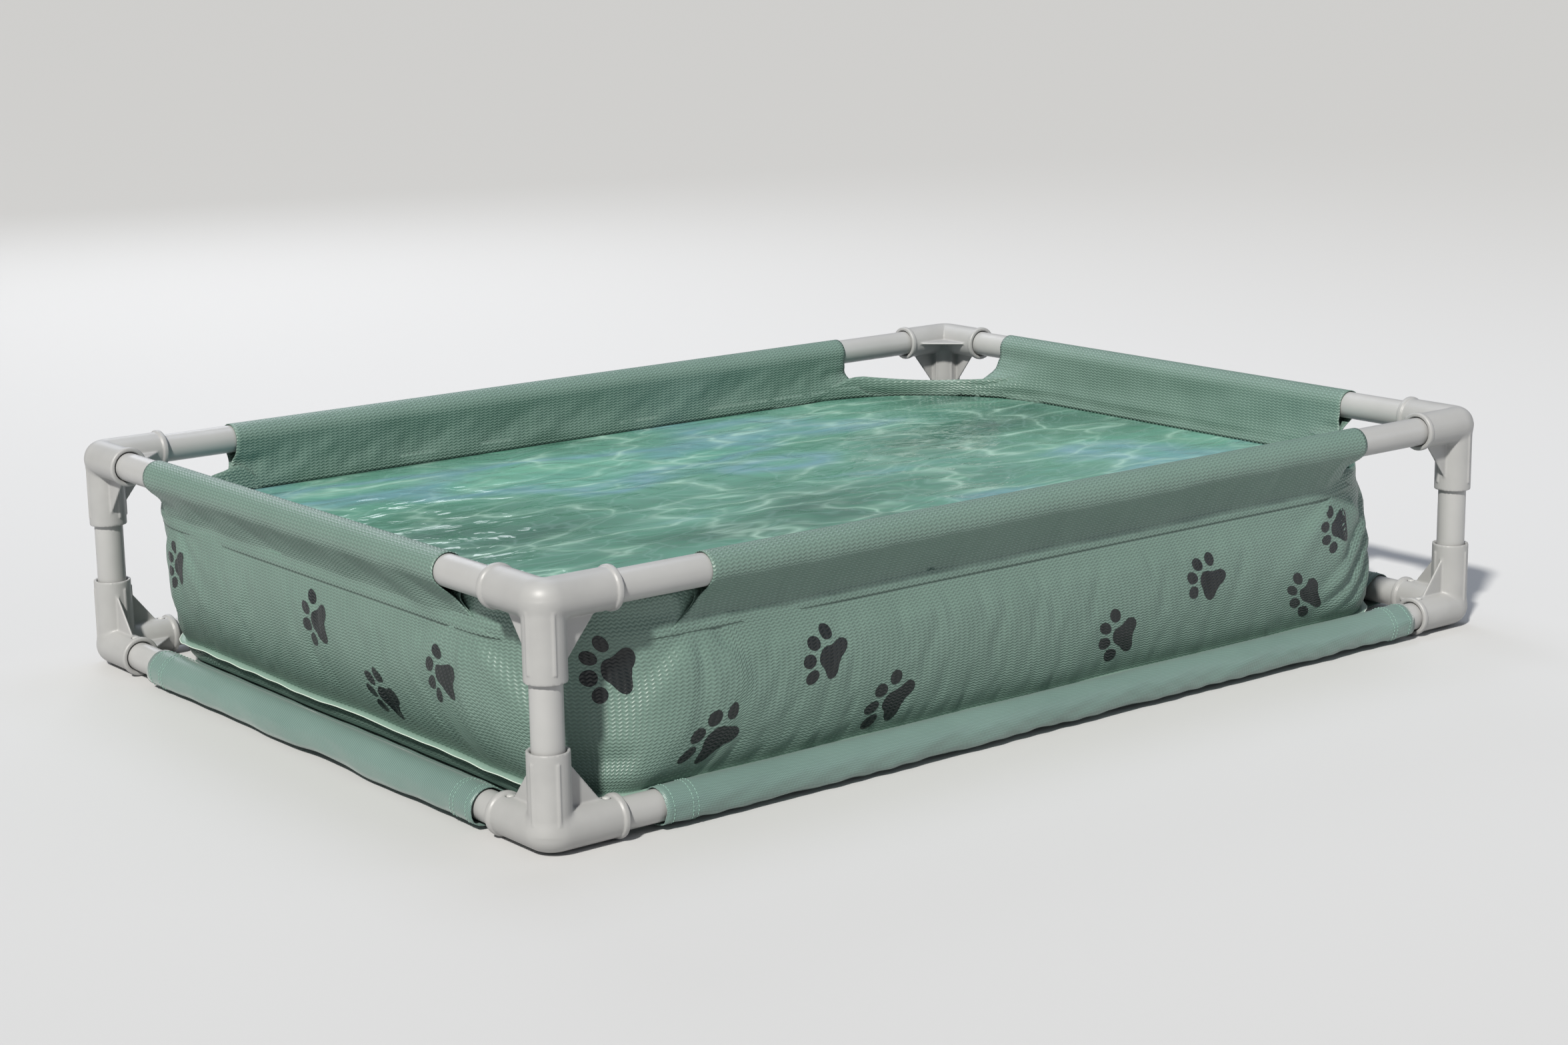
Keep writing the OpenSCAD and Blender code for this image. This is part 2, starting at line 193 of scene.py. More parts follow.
# puts a point given by a side's own measures into the frame: along runs to the right seen from
# outside, inset runs inwards from that side's rail axis
def fromSide(side, along, inset, z):
    along, inset, z = np.broadcast_arrays(along, inset, z)
    if side == "front":
        return np.stack([along, inset - halfWidth, z], -1)
    if side == "back":
        return np.stack([-along, halfWidth - inset, z], -1)
    if side == "left":
        return np.stack([inset - halfLength, -along, z], -1)
    return np.stack([halfLength - inset, along, z], -1)


# Camera, light and stage

view = {"place": (-1.6033, -2.0356, 0.6829), "turn": (77.587, 0.865, -38.327), "lens": 67.38}
cameraData = bpy.data.cameras.new("camera")
cameraData.lens = view["lens"]
cameraData.sensor_width = 36
cameraData.clip_start = 0.05
camera = bpy.data.objects.new("camera", cameraData)
camera.location = view["place"]
camera.rotation_euler = [math.radians(a) for a in view["turn"]]
bpy.context.scene.collection.objects.link(camera)
bpy.context.scene.camera = camera


def turnTowards(away):       # turns a lamp so that it shines along the opposite of away
    return (math.atan2(math.hypot(away[0], away[1]), away[2]), 0, math.atan2(away[0], -away[1]))


def addLamp(name, place, target, size, watts, colour="#ffffff"):
    data = bpy.data.lights.new(name, "AREA")
    data.shape = "DISK"
    data.size = size
    data.energy = watts
    data.color = linear(colour)[:3]
    lamp = bpy.data.objects.new(name, data)
    lamp.location = place
    lamp.rotation_euler = turnTowards(np.array(place) - np.array(target))
    bpy.context.scene.collection.objects.link(lamp)


# the key stands far off, so that it lights the whole floor evenly; strength in W per square metre
keyData = bpy.data.lights.new("keyLamp", "SUN")
keyData.energy = 4.4
keyData.angle = math.radians(4)
keyData.color = linear("#fffcf6")[:3]
keyLamp = bpy.data.objects.new("keyLamp", keyData)
keyLamp.rotation_euler = turnTowards((-0.63, -0.394, 0.669))
bpy.context.scene.collection.objects.link(keyLamp)
addLamp("topLamp", (0.5, 0.6, 2.6), (0, 0, 0.1), 1.6, 16, "#e3ecff")
addLamp("fillLamp", (2.6, -2.2, 1.2), (0, 0, 0.1), 1.8, 9, "#eef3ff")
addLamp("backLamp", (0.8, 3.0, 1.8), (0, 0, 0.1), 1.8, 20, "#f4f7ff")
bpy.context.scene.view_settings.view_transform = "Standard"

world = bpy.data.worlds.new("studio")
bpy.context.scene.world = world
world.use_nodes = True
world.node_tree.nodes["Background"].inputs["Color"].default_value = linear("#e6edf7")
world.node_tree.nodes["Background"].inputs["Strength"].default_value = 0.25

stageMaterial = newMaterial("matte pale studio floor", "#c6c6c6", 0.9)[0]
floorMesh = bpy.data.meshes.new("studioFloor")
floorMesh.from_pydata([(-40, -40, -0.0005), (40, -40, -0.0005), (40, 40, -0.0005),
                       (-40, 40, -0.0005)], [], [(0, 1, 2, 3)])
floorMesh.materials.append(stageMaterial)
studioFloor = bpy.data.objects.new("studioFloor", floorMesh)
bpy.context.scene.collection.objects.link(studioFloor)
print("stage: camera, lamps and floor")


# Materials

# Moulded polypropylene: satin, a little cloudy, with the fine grain of the mould
def mouldedPlastic(name, colour, cloud, roughness, grain):
    material, tree, shader = newMaterial(name, colour, roughness, IOR=1.49)
    place = addNode(tree, "ShaderNodeTexCoord").outputs["Object"]
    slow = addNode(tree, "ShaderNodeTexNoise", inputs={"Vector": place, "Scale": 30.0,
                                                       "Detail": 3.0}).outputs["Fac"]
    colourOut = colourRamp(tree, slow, [(0.3, cloud), (0.7, colour)])
    tree.links.new(colourOut, shader.inputs["Base Color"])
    fine = addNode(tree, "ShaderNodeTexNoise", inputs={"Vector": place, "Scale": 1200.0,
                                                       "Detail": 2.0}).outputs["Fac"]
    wear = addNode(tree, "ShaderNodeMapRange", inputs={"Value": slow, "To Min": roughness - 0.05,
                                                       "To Max": roughness + 0.06})
    tree.links.new(wear.outputs[0], shader.inputs["Roughness"])
    bump = addNode(tree, "ShaderNodeBump", inputs={"Strength": 0.35, "Distance": grain,
                                                   "Height": fine})
    tree.links.new(bump.outputs[0], shader.inputs["Normal"])
    return material


# Extruded PVC tube: smoother than the fittings, with faint handling scuffs
def extrudedTube(name, colour, cloud):
    material, tree, shader = newMaterial(name, colour, 0.36, IOR=1.53)
    place = addNode(tree, "ShaderNodeTexCoord").outputs["Object"]
    slow = addNode(tree, "ShaderNodeTexNoise", inputs={"Vector": place, "Scale": 18.0,
                                                       "Detail": 4.0}).outputs["Fac"]
    tree.links.new(colourRamp(tree, slow, [(0.3, cloud), (0.72, colour)]),
                   shader.inputs["Base Color"])
    scuff = addNode(tree, "ShaderNodeTexNoise", inputs={"Vector": place, "Scale": 220.0,
                                                        "Detail": 4.0, "Distortion": 1.5})
    wear = addNode(tree, "ShaderNodeMapRange", inputs={"Value": scuff.outputs["Fac"],
                                                       "From Min": 0.35, "From Max": 0.75,
                                                       "To Min": 0.3, "To Max": 0.46})
    tree.links.new(wear.outputs[0], shader.inputs["Roughness"])
    bump = addNode(tree, "ShaderNodeBump", inputs={"Strength": 0.25, "Distance": 0.00008,
                                                   "Height": scuff.outputs["Fac"]})
    tree.links.new(bump.outputs[0], shader.inputs["Normal"])
    return material


# The embossing of the coated cloth: short bracket cells in rows, on the cloth's own metres
embossing = {"row": 0.0028, "column": 0.0052, "depth": 0.0009}


def embossHeight(tree):
    uv = addNode(tree, "ShaderNodeUVMap", {"uv_map": "cloth"}).outputs["UV"]
    wander = addNode(tree, "ShaderNodeTexNoise", inputs={"Vector": uv, "Scale": 60.0})
    split = addNode(tree, "ShaderNodeSeparateXYZ", inputs={"Vector": uv})
    nudge = formula(tree, "MULTIPLY", wander.outputs["Fac"], 0.0012)
    u = formula(tree, "MULTIPLY", formula(tree, "ADD", split.outputs["X"], nudge),
                2 * math.pi / embossing["column"])
    v = formula(tree, "MULTIPLY", split.outputs["Y"], 2 * math.pi / embossing["row"])
    across = formula(tree, "SINE", u)
    # each row of cells is pushed up and down by the columns, which draws the brackets
    rows = formula(tree, "SINE", formula(tree, "ADD", v, formula(tree, "MULTIPLY",
                                                                 across, 1.25)))
    gap = formula(tree, "SINE", formula(tree, "MULTIPLY", u, 0.5))
    height = formula(tree, "ADD", rows, formula(tree, "MULTIPLY",
                                                formula(tree, "ABSOLUTE", gap), 0.8))
    return formula(tree, "MULTIPLY_ADD", height, 0.25, 0.5), uv


# PVC-coated polyester, calendered with an embossing roll: satin with small lit edges on each cell, and
# painted shade of the embossing in its colour
def coatedCloth(name, colour, paintedReliefShade, light, roughness, depth):
    material, tree, shader = newMaterial(name, colour, roughness, IOR=1.52)
    height, uv = embossHeight(tree)
    slow = addNode(tree, "ShaderNodeTexNoise", inputs={"Vector": uv, "Scale": 14.0,
                                                       "Detail": 4.0}).outputs["Fac"]
    # painted shade of the embossing: the colour darkens with the cells' height, so the grooves between
    # read lighter; a slow random tone lies under it
    cloud = addNode(tree, "ShaderNodeMix", {"data_type": "RGBA"},
                    {"Factor": formula(tree, "MULTIPLY", height, 0.55),
                     "A": colourRamp(tree, slow, [(0.3, colour), (0.75, light)]),
                     "B": linear(paintedReliefShade)})
    tree.links.new(cloud.outputs["Result"], shader.inputs["Base Color"])
    wear = addNode(tree, "ShaderNodeMapRange", inputs={"Value": height, "To Min": roughness - 0.06,
                                                       "To Max": roughness + 0.08})
    tree.links.new(wear.outputs[0], shader.inputs["Roughness"])
    bump = addNode(tree, "ShaderNodeBump", inputs={"Strength": 0.8, "Distance": depth,
                                                   "Height": height})
    tree.links.new(bump.outputs[0], shader.inputs["Normal"])
    return material


# Oxford polyester with a thin coating: a fine slanting weave that glints like silk, with painted shade
# in the weave's grooves
def oxfordCloth(name, colour, paintedReliefShade, spacing):
    material, tree, shader = newMaterial(name, colour, 0.36, IOR=1.5, Sheen_Weight=0.25,
                                         Sheen_Roughness=0.4)
    uv = addNode(tree, "ShaderNodeUVMap", {"uv_map": "cloth"}).outputs["UV"]
    split = addNode(tree, "ShaderNodeSeparateXYZ", inputs={"Vector": uv})
    u, v = split.outputs["X"], split.outputs["Y"]
    turns = 2 * math.pi / spacing
    first = formula(tree, "SINE", formula(tree, "MULTIPLY", formula(tree, "ADD", u, v), turns))
    second = formula(tree, "SINE", formula(tree, "MULTIPLY",
                                           formula(tree, "SUBTRACT", u, v), turns * 0.5))
    weave = formula(tree, "MULTIPLY_ADD", formula(tree, "MULTIPLY", first, second), 0.5, 0.5)
    slow = addNode(tree, "ShaderNodeTexNoise", inputs={"Vector": uv, "Scale": 9.0,
                                                       "Detail": 4.0}).outputs["Fac"]
    # painted shade between the threads: the colour darkens where the weave is low, with a slow random
    # tone
    mixed = addNode(tree, "ShaderNodeMix", {"data_type": "RGBA"},
                    {"Factor": formula(tree, "MULTIPLY_ADD", weave, 0.55,
                                       formula(tree, "MULTIPLY", slow, 0.25)),
                     "A": linear(paintedReliefShade), "B": linear(colour)})
    tree.links.new(mixed.outputs["Result"], shader.inputs["Base Color"])
    bump = addNode(tree, "ShaderNodeBump", inputs={"Strength": 0.6, "Distance": 0.00018,
                                                   "Height": weave})
    tree.links.new(bump.outputs[0], shader.inputs["Normal"])
    return material


# Cold-drawn spring strip: bright grey with fine drawing lines
def springSteel(name):
    material, tree, shader = newMaterial(name, "#b9bcc0", 0.3, Metallic=1.0)
    place = addNode(tree, "ShaderNodeTexCoord").outputs["Object"]
    lines = addNode(tree, "ShaderNodeTexNoise", inputs={"Vector": place, "Scale": 900.0,
                                                        "Detail": 2.0})
    wear = addNode(tree, "ShaderNodeMapRange", inputs={"Value": lines.outputs["Fac"],
                                                       "To Min": 0.22, "To Max": 0.4})
    tree.links.new(wear.outputs[0], shader.inputs["Roughness"])
    return material


elbowPlastic = mouldedPlastic("moulded polypropylene, satin", "#a3a3a2", "#9b9b9a", 0.42, 0.00006)
drainPlastic = mouldedPlastic("moulded PVC, satin", "#a1a1a0", "#989897", 0.4, 0.00005)
plugPlastic = mouldedPlastic("moulded PVC cap", "#b7b5b2", "#adaba8", 0.45, 0.00005)
buttonPlastic = mouldedPlastic("moulded nylon, satin", "#b9b9b7", "#b1b1af", 0.34, 0.00003)
tubePlastic = extrudedTube("extruded PVC tube", "#a9a9a8", "#a1a1a0")
springMetal = springSteel("cold drawn spring strip")
tubCloth = coatedCloth("PVC coated polyester, embossed", "#748e83", "#3c4e46", "#7b958a", 0.38,
                       embossing["depth"])
printInk = coatedCloth("screen printed ink on coated cloth", "#10171a", "#090d0e", "#141c1d",
                       0.33, embossing["depth"] * 0.8)
weldCloth = coatedCloth("hot welded coated cloth", "#849e92", "#799388", "#8ba598", 0.36, 0.00005)
baseCloth = oxfordCloth("oxford polyester, coated", "#90aca4", "#3c524c", 0.0020)
threadMaterial = newMaterial("polyester sewing thread", "#86a79b", 0.6)[0]
# pale edge colour: partly the cut edge's own, partly a painted highlight of the flange's lit edge
paleEdgeAndHighlight = newMaterial("cut edge of coated cloth, painted highlight", "#cfdcd2", 0.5)[0]

for nodeName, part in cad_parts.items():      # the CAD's own tubes and springs stay
    chosen = (tubePlastic if nodeName.startswith(("rail_", "leg_"))
              else springMetal if nodeName.startswith("springs_")
              else plugPlastic if nodeName == "drain_plug" else elbowPlastic)
    part.data.materials.clear()
    part.data.materials.append(chosen)
print("materials")


# Corner fittings

# distances in millimetres from the crossing of the two rails' axes, x and y inwards, z up the leg
fitting = {"socket": 15.75, "legSocket": 16.25, "collar": 17.25, "length": 60.0, "bend": 8.0,
           "bore": 12.95, "mouth": 13.75, "stop": 22.0, "legInset": 3.2, "web": 2.0,
           "webReach": 45.0, "webRise": 48.0, "plateReach": 50.0, "button": 50.0,
           "voxel": 0.9, "fillet": 2.6}


def blendMin(a, b, radius):        # smooth union of two distance fields
    h = np.clip(0.5 + 0.5 * (b - a) / radius, 0, 1)
    return b + (a - b) * h - radius * h * (1 - h)


def fittingSurface():
    f = fitting
    step = f["voxel"]
    ticks = np.arange(-21, 64, step)
    x, y, z = np.meshgrid(ticks, ticks, ticks, indexing="ij")
    far = 40.0
    # the two rail sockets are one pipe: distance to its line, less its radius
    toX = np.where(x >= f["bend"], np.hypot(y, z), far)
    toY = np.where(y >= f["bend"], np.hypot(x, z), far)
    turn = np.hypot(np.hypot(x - f["bend"], y - f["bend"]) - f["bend"], z)
    toTurn = np.where((x < f["bend"]) & (y < f["bend"]), turn, far)
    line = np.minimum(np.minimum(toX, toY), toTurn)
    body = np.maximum(line - f["socket"], np.maximum(x, y) - f["length"])
    lx, ly = x - f["legInset"], y - f["legInset"]
    legRadius = np.hypot(lx, ly)
    leg = np.maximum(legRadius - f["legSocket"], np.maximum(z - f["length"], -z))
    body = blendMin(body, leg, f["fillet"])
    # rings round the mouths, with rounded edges
    for across, along in ((np.hypot(y, z), x), (np.hypot(x, z), y)):
        qa, qb = across - f["collar"] + 1.1, np.abs(along - 57.6) - 2.4 + 1.1
        ring = (np.minimum(np.maximum(qa, qb), 0)
                + np.hypot(np.maximum(qa, 0), np.maximum(qb, 0)) - 1.1)
        body = blendMin(body, ring, 0.9)
    # upright webs: the side of a triangle from the rail socket up to the leg socket
    run, rise = f["webReach"] - f["legInset"] - f["legSocket"] + 1, f["webRise"] - f["socket"] + 1
    size = math.hypot(run, rise)
    for across, along in ((y, x), (x, y)):
        slope = ((along - f["webReach"]) * rise + (z - f["socket"] + 1) * run) / size
        web = np.maximum(np.maximum(np.abs(across) - f["web"] / 2, slope),
                         np.maximum(-along, -z))
        body = blendMin(body, web, 1.6)
    flat = np.maximum(np.maximum(np.abs(z) - f["web"] / 2,
                                 (x + y - f["plateReach"] - f["socket"] + 1) / math.sqrt(2)),
                      np.maximum(-x, -y))
    body = blendMin(body, flat, 1.6)
    for degrees in (188, 262, 15, 75):        # ribs up the leg socket
        a = math.radians(degrees)
        out, side = lx * math.cos(a) + ly * math.sin(a), -lx * math.sin(a) + ly * math.cos(a)
        rib = np.maximum(np.maximum(np.abs(side) - 1.2, np.abs(out - 15.7) - 1.45),
                         np.abs(z - 30) - 23)
        body = blendMin(body, rib, 1.0)
    # bores with a widened lip, and the button holes
    for across, along in ((np.hypot(y, z), x), (np.hypot(x, z), y), (legRadius, z)):
        lip = (f["mouth"] - f["bore"]) * np.clip((along - 57.5) / 2.5, 0, 1)
        bore = np.maximum(across - f["bore"] - lip, f["stop"] - along)
        body = -blendMin(-body, bore, 0.5)
    for hx, hy in ((f["button"], 0), (0, f["button"])):
        hole = np.maximum(np.hypot(x - hx, y - hy) - 3.5, 5 - z)
        body = -blendMin(-body, hole, 0.8)
    field = openvdb.FloatGrid(3 * step)
    field.copyFromArray(np.clip(body, -3 * step, 3 * step).astype(np.float32))
    points, quads = field.convertToQuads(0.0)
    return (points * step + ticks[0]) / 1000, quads


fittingPoints, fittingQuads = fittingSurface()
for level in ("bottom", "top"):
    for lengthEnd in ("front", "back"):
        for widthEnd in ("left", "right"):
            sx, sy = (1 if widthEnd == "right" else -1), (1 if lengthEnd == "back" else -1)
            sz = 1 if level == "bottom" else -1
            placed = fittingPoints * [-sx, -sy, sz] + [
                sx * halfLength, sy * halfWidth, lowZ if level == "bottom" else highZ]
            name = f"corner_{level}_{lengthEnd}_{widthEnd}"
            addPiece(name.replace("corner", "fitting"), placed, fittingQuads, elbowPlastic,
                     replaces=[name])
print("corner fittings", len(fittingQuads), "faces each")


# a solid of revolution from a (radius, height) profile, about an axis through a place
def turned(name, profile, place, axis, material, body="frame", replaces=(), steps=48):
    profile = np.array(profile, float)
    angle = np.linspace(0, 2 * np.pi, steps, endpoint=False)
    w = np.array(axis, float) / np.linalg.norm(axis)
    u = np.cross(w, [0.0, 1.0, 0.0] if abs(w[1]) < 0.8 else [1.0, 0.0, 0.0])
    u /= np.linalg.norm(u)
    v = np.cross(w, u)
    ring = np.cos(angle)[:, None] * u + np.sin(angle)[:, None] * v
    points = (np.array(place) + profile[:, 0, None, None] * ring[None]
              + profile[:, 1, None, None] * w)
    faces, _ = gridFaces(len(profile), steps, closeColumns=True)
    return addPiece(name, points, faces, material, body=body, replaces=replaces)


# rounded profile: each corner of a (radius, height) outline is replaced by a short arc
def rounded(outline, radius, steps=4):
    points = np.array(outline, float)
    out = [points[0]]
    for before, corner, after in zip(points[:-2], points[1:-1], points[2:]):
        toBefore, toAfter = before - corner, after - corner
        reach = min(radius, np.linalg.norm(toBefore) / 2, np.linalg.norm(toAfter) / 2)
        start = corner + toBefore / np.linalg.norm(toBefore) * reach
        end = corner + toAfter / np.linalg.norm(toAfter) * reach
        t = np.linspace(0, 1, steps + 1)[:, None]
        out.extend((1 - t)**2 * start + 2 * t * (1 - t) * corner + t**2 * end)
    out.append(points[-1])
    return np.array(out)


# Snap buttons

buttonShape = {"radius": 0.003, "dome": 0.0012, "flange": 0.0042}
for nodeName in [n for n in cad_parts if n.startswith("button_")]:
    low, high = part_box(nodeName)
    up = 1 if "_bottom_" in nodeName else -1
    tall = high.z - low.z
    base = low.z if up > 0 else high.z
    b = buttonShape
    dome = [(b["radius"] * math.cos(a), tall - b["dome"] + b["dome"] * math.sin(a))
            for a in np.linspace(0, math.pi / 2, 7)]
    profile = [(0, 0), (b["flange"] - 0.0003, 0), (b["flange"], 0.0003), (b["flange"], 0.0007),
               (b["radius"], 0.0008)] + dome
    profile[-1] = (0, tall)
    turned(nodeName.replace("button", "snapButton"), profile,
           ((low.x + high.x) / 2, (low.y + high.y) / 2, base), (0, 0, up),
           buttonPlastic, body=nodeName, replaces=[nodeName], steps=28)
print("snap buttons")


# Tub: one loop of cloth, from the rim to the middle of the floor

# insets are from the rail axes, heights above the ground, in metres
tub = {"rimCorner": {"front_left": (0.1735, 0.1735, 16), "front_right": (0.169, 0.1535, 0),
                     "back_left": (0.169, 0.152, 10), "back_right": (0.169, 0.157, -1)},
       "weldLow": 0.140, "weldHigh": 0.1515, "foot": 0.0245, "floor": 0.0027,
       "inset": {"front": [(0.0245, 0.0205), (0.036, 0.0135), (0.050, 0.0095), (0.075, 0.0055), 
                           (0.105, 0.0052), (0.13, 0.0078), (0.152, 0.0105)],
                 "back": [(0.0245, 0.0205), (0.036, 0.0135), (0.050, 0.0098), (0.075, 0.006), 
                          (0.105, 0.0058), (0.13, 0.0082), (0.152, 0.0105)],
                 "left": [(0.0245, 0.0445), (0.045, 0.032), (0.075, 0.019), (0.105, 0.0135),
                          (0.13, 0.0118), (0.152, 0.0125)],
                 "right": [(0.0245, 0.0655), (0.045, 0.055), (0.075, 0.042), (0.105, 0.030),
                           (0.13, 0.0205), (0.152, 0.0145)]},
       "corner": {"left": [(0.0245, 0.052), (0.05, 0.088), (0.067, 0.104), (0.099, 0.120),
                           (0.132, 0.118), (0.152, 0.106), (0.17, 0.1)],
                  "right": [(0.0245, 0.062), (0.053, 0.098), (0.079, 0.128), (0.098, 0.144),
                            (0.115, 0.158), (0.152, 0.184), (0.17, 0.19)]},
       "folds": [(0.482, 0.0040, 0.0062), (0.448, 0.0046, 0.0066), (0.412, 0.0034, 0.006)],
       "longSteps": 190, "shortSteps": 124, "cornerSteps": 30, "wallRows": 34,
       "thickness": 0.0007}
topGap = {"front": (0.141, 0.142), "right": (0.130, 0.104), "back": (0.153, 0.129),
          "left": (0.1135, 0.124)}      # sleeve ends from the corner axes, seen from outside


def insetAt(side, z):
    return alongCurve(tub["inset"][side], z)


def cornerRadius(z, side, nextSide):
    return alongCurve(tub["corner"]["left" if "left" in (side, nextSide) else "right"], z)


loopSides = ["front", "right", "back", "left"]
cornerNames = {("front", "right"): "front_right", ("right", "back"): "back_right",
               ("back", "left"): "back_left", ("left", "front"): "front_left"}


# one column of the loop is (side, share along it) or (corner, share round it); for each height
# the straight runs end where the corner's radius begins
def loopPlan():
    kinds, shares = [], []
    for i, side in enumerate(loopSides):
        count = tub["longSteps"] if side in ("front", "back") else tub["shortSteps"]
        kinds += [(side, None)] * count
        shares += list(np.arange(count) / count)
        kinds += [(side, loopSides[(i + 1) % 4])] * tub["cornerSteps"]
        shares += list(np.arange(tub["cornerSteps"]) / tub["cornerSteps"])
    return kinds, np.array(shares)


loopKinds, loopShares = loopPlan()
loopCount = len(loopKinds)


# point of the loop at each (row, column) for heights z of the same shape, moved in by extraInset
def loopPoints(z, extraInset=0.0):
    out = np.zeros(z.shape + (3,))
    for i, side in enumerate(loopSides):
        nextSide, lastSide = loopSides[(i + 1) % 4], loopSides[(i - 1) % 4]
        flat = [c for c, k in enumerate(loopKinds) if k == (side, None)]
        arc = [c for c, k in enumerate(loopKinds) if k == (side, nextSide)]
        zs, share = z[:, flat], loopShares[flat]
        start = (-halfSpan[side] + insetAt(lastSide, zs) + extraInset
                 + cornerRadius(zs, lastSide, side))
        end = halfSpan[side] - insetAt(nextSide, zs) - extraInset - cornerRadius(zs, side, nextSide)
        out[:, flat] = fromSide(side, start + (end - start) * share,
                                insetAt(side, zs) + extraInset, zs)
        za, angle = z[:, arc], loopShares[arc] * np.pi / 2
        radius = cornerRadius(za, side, nextSide)
        centre = halfSpan[side] - insetAt(nextSide, za) - extraInset - radius
        out[:, arc] = fromSide(side, centre + radius * np.sin(angle),
                               insetAt(side, za) + extraInset + radius * (1 - np.cos(angle)), za)
    return out


# height of the rim at each column: level with the weld's top under the sleeves; it rises beside
# each sleeve's end and sinks towards the corner's middle (heights and columns past the rounding)
def rimHeights():
    rim = np.full(loopCount, tub["weldHigh"])
    for i, side in enumerate(loopSides):
        edge, middle, spread = tub["rimCorner"][cornerNames[(side, loopSides[(i + 1) % 4])]]
        first = loopKinds.index((side, loopSides[(i + 1) % 4]))
        width = tub["cornerSteps"] + 2 * spread
        column = (np.arange(loopCount) - first + spread) % loopCount
        rise = smoothstep(column, 0, 6) * smoothstep(width - column, 0, 6)
        sink = np.sin(np.pi * np.clip(column / width, 0, 1)) ** 1.5
        rim += (edge + (middle - edge) * sink - tub["weldHigh"]) * rise
    return rim


def gridNormals(points, closeColumns=True):
    down = np.gradient(points, axis=0)
    if closeColumns:
        across = (np.roll(points, -1, 1) - np.roll(points, 1, 1)) / 2
    else:
        across = np.gradient(points, axis=1)
    normal = np.cross(down, across)
    return normal / np.maximum(np.linalg.norm(normal, axis=-1, keepdims=True), 1e-9)


# runs Blender's cloth on a closed loop whose first and last rows are held, returns where it settles
def relaxCloth(points, push, frames, seed, grow=0.006, stiff=8.0):
    rows, columns = points.shape[:2]
    faces, _ = gridFaces(rows, columns, closeColumns=True)
    jitter = np.random.default_rng(seed).normal(0, 0.00025, points.shape)
    jitter[[0, -1]] = 0
    mesh = bpy.data.meshes.new("clothWork")
    mesh.from_pydata((points + jitter).reshape(-1, 3).tolist(), [], faces.tolist())
    work = bpy.data.objects.new("clothWork", mesh)
    bpy.context.scene.collection.objects.link(work)
    held = work.vertex_groups.new(name="held")
    index = np.arange(rows * columns).reshape(rows, columns)
    held.add(np.concatenate([index[0], index[-1]]).tolist(), 1.0, "REPLACE")
    cloth = work.modifiers.new("cloth", "CLOTH")
    setup = cloth.settings
    setup.quality = 6
    setup.mass = 0.25
    setup.tension_stiffness = setup.compression_stiffness = stiff
    setup.shear_stiffness = stiff * 0.6
    setup.bending_stiffness = 0.25
    setup.tension_damping = setup.compression_damping = 12
    setup.air_damping = 6
    setup.vertex_group_mass = "held"
    setup.shrink_min = -grow
    setup.use_pressure = True
    setup.uniform_pressure_force = -push      # the grid's own normals point inwards
    setup.effector_weights.gravity = 0
    cloth.collision_settings.use_collision = False
    scene = bpy.context.scene
    for number in range(1, frames + 1):
        scene.frame_set(number)
    settled = work.evaluated_get(bpy.context.evaluated_depsgraph_get()).to_mesh()
    out = np.empty(len(settled.vertices) * 3, np.float32)
    settled.vertices.foreach_get("co", out)
    scene.frame_set(1)
    bpy.data.objects.remove(work)
    return out.reshape(rows, columns, 3).astype(float)


# spreads a coarse field over a finer closed loop, straight between its points
def spreadField(field, rows, columns):
    r = np.linspace(0, field.shape[0] - 1, rows)
    wide = np.concatenate([field, field[:, :1]], 1)
    c = np.arange(columns) * field.shape[1] / columns
    r0, c0 = np.minimum(r.astype(int), field.shape[0] - 2), c.astype(int)
    c0 = np.minimum(c0, wide.shape[1] - 2)
    fr, fc = (r - r0)[:, None, None], (c - c0)[None, :, None]
    pick = lambda i, j: wide[np.ix_(i, j)]
    return (pick(r0, c0) * (1 - fr) * (1 - fc) + pick(r0 + 1, c0) * fr * (1 - fc)
            + pick(r0, c0 + 1) * (1 - fr) * fc + pick(r0 + 1, c0 + 1) * fr * fc)


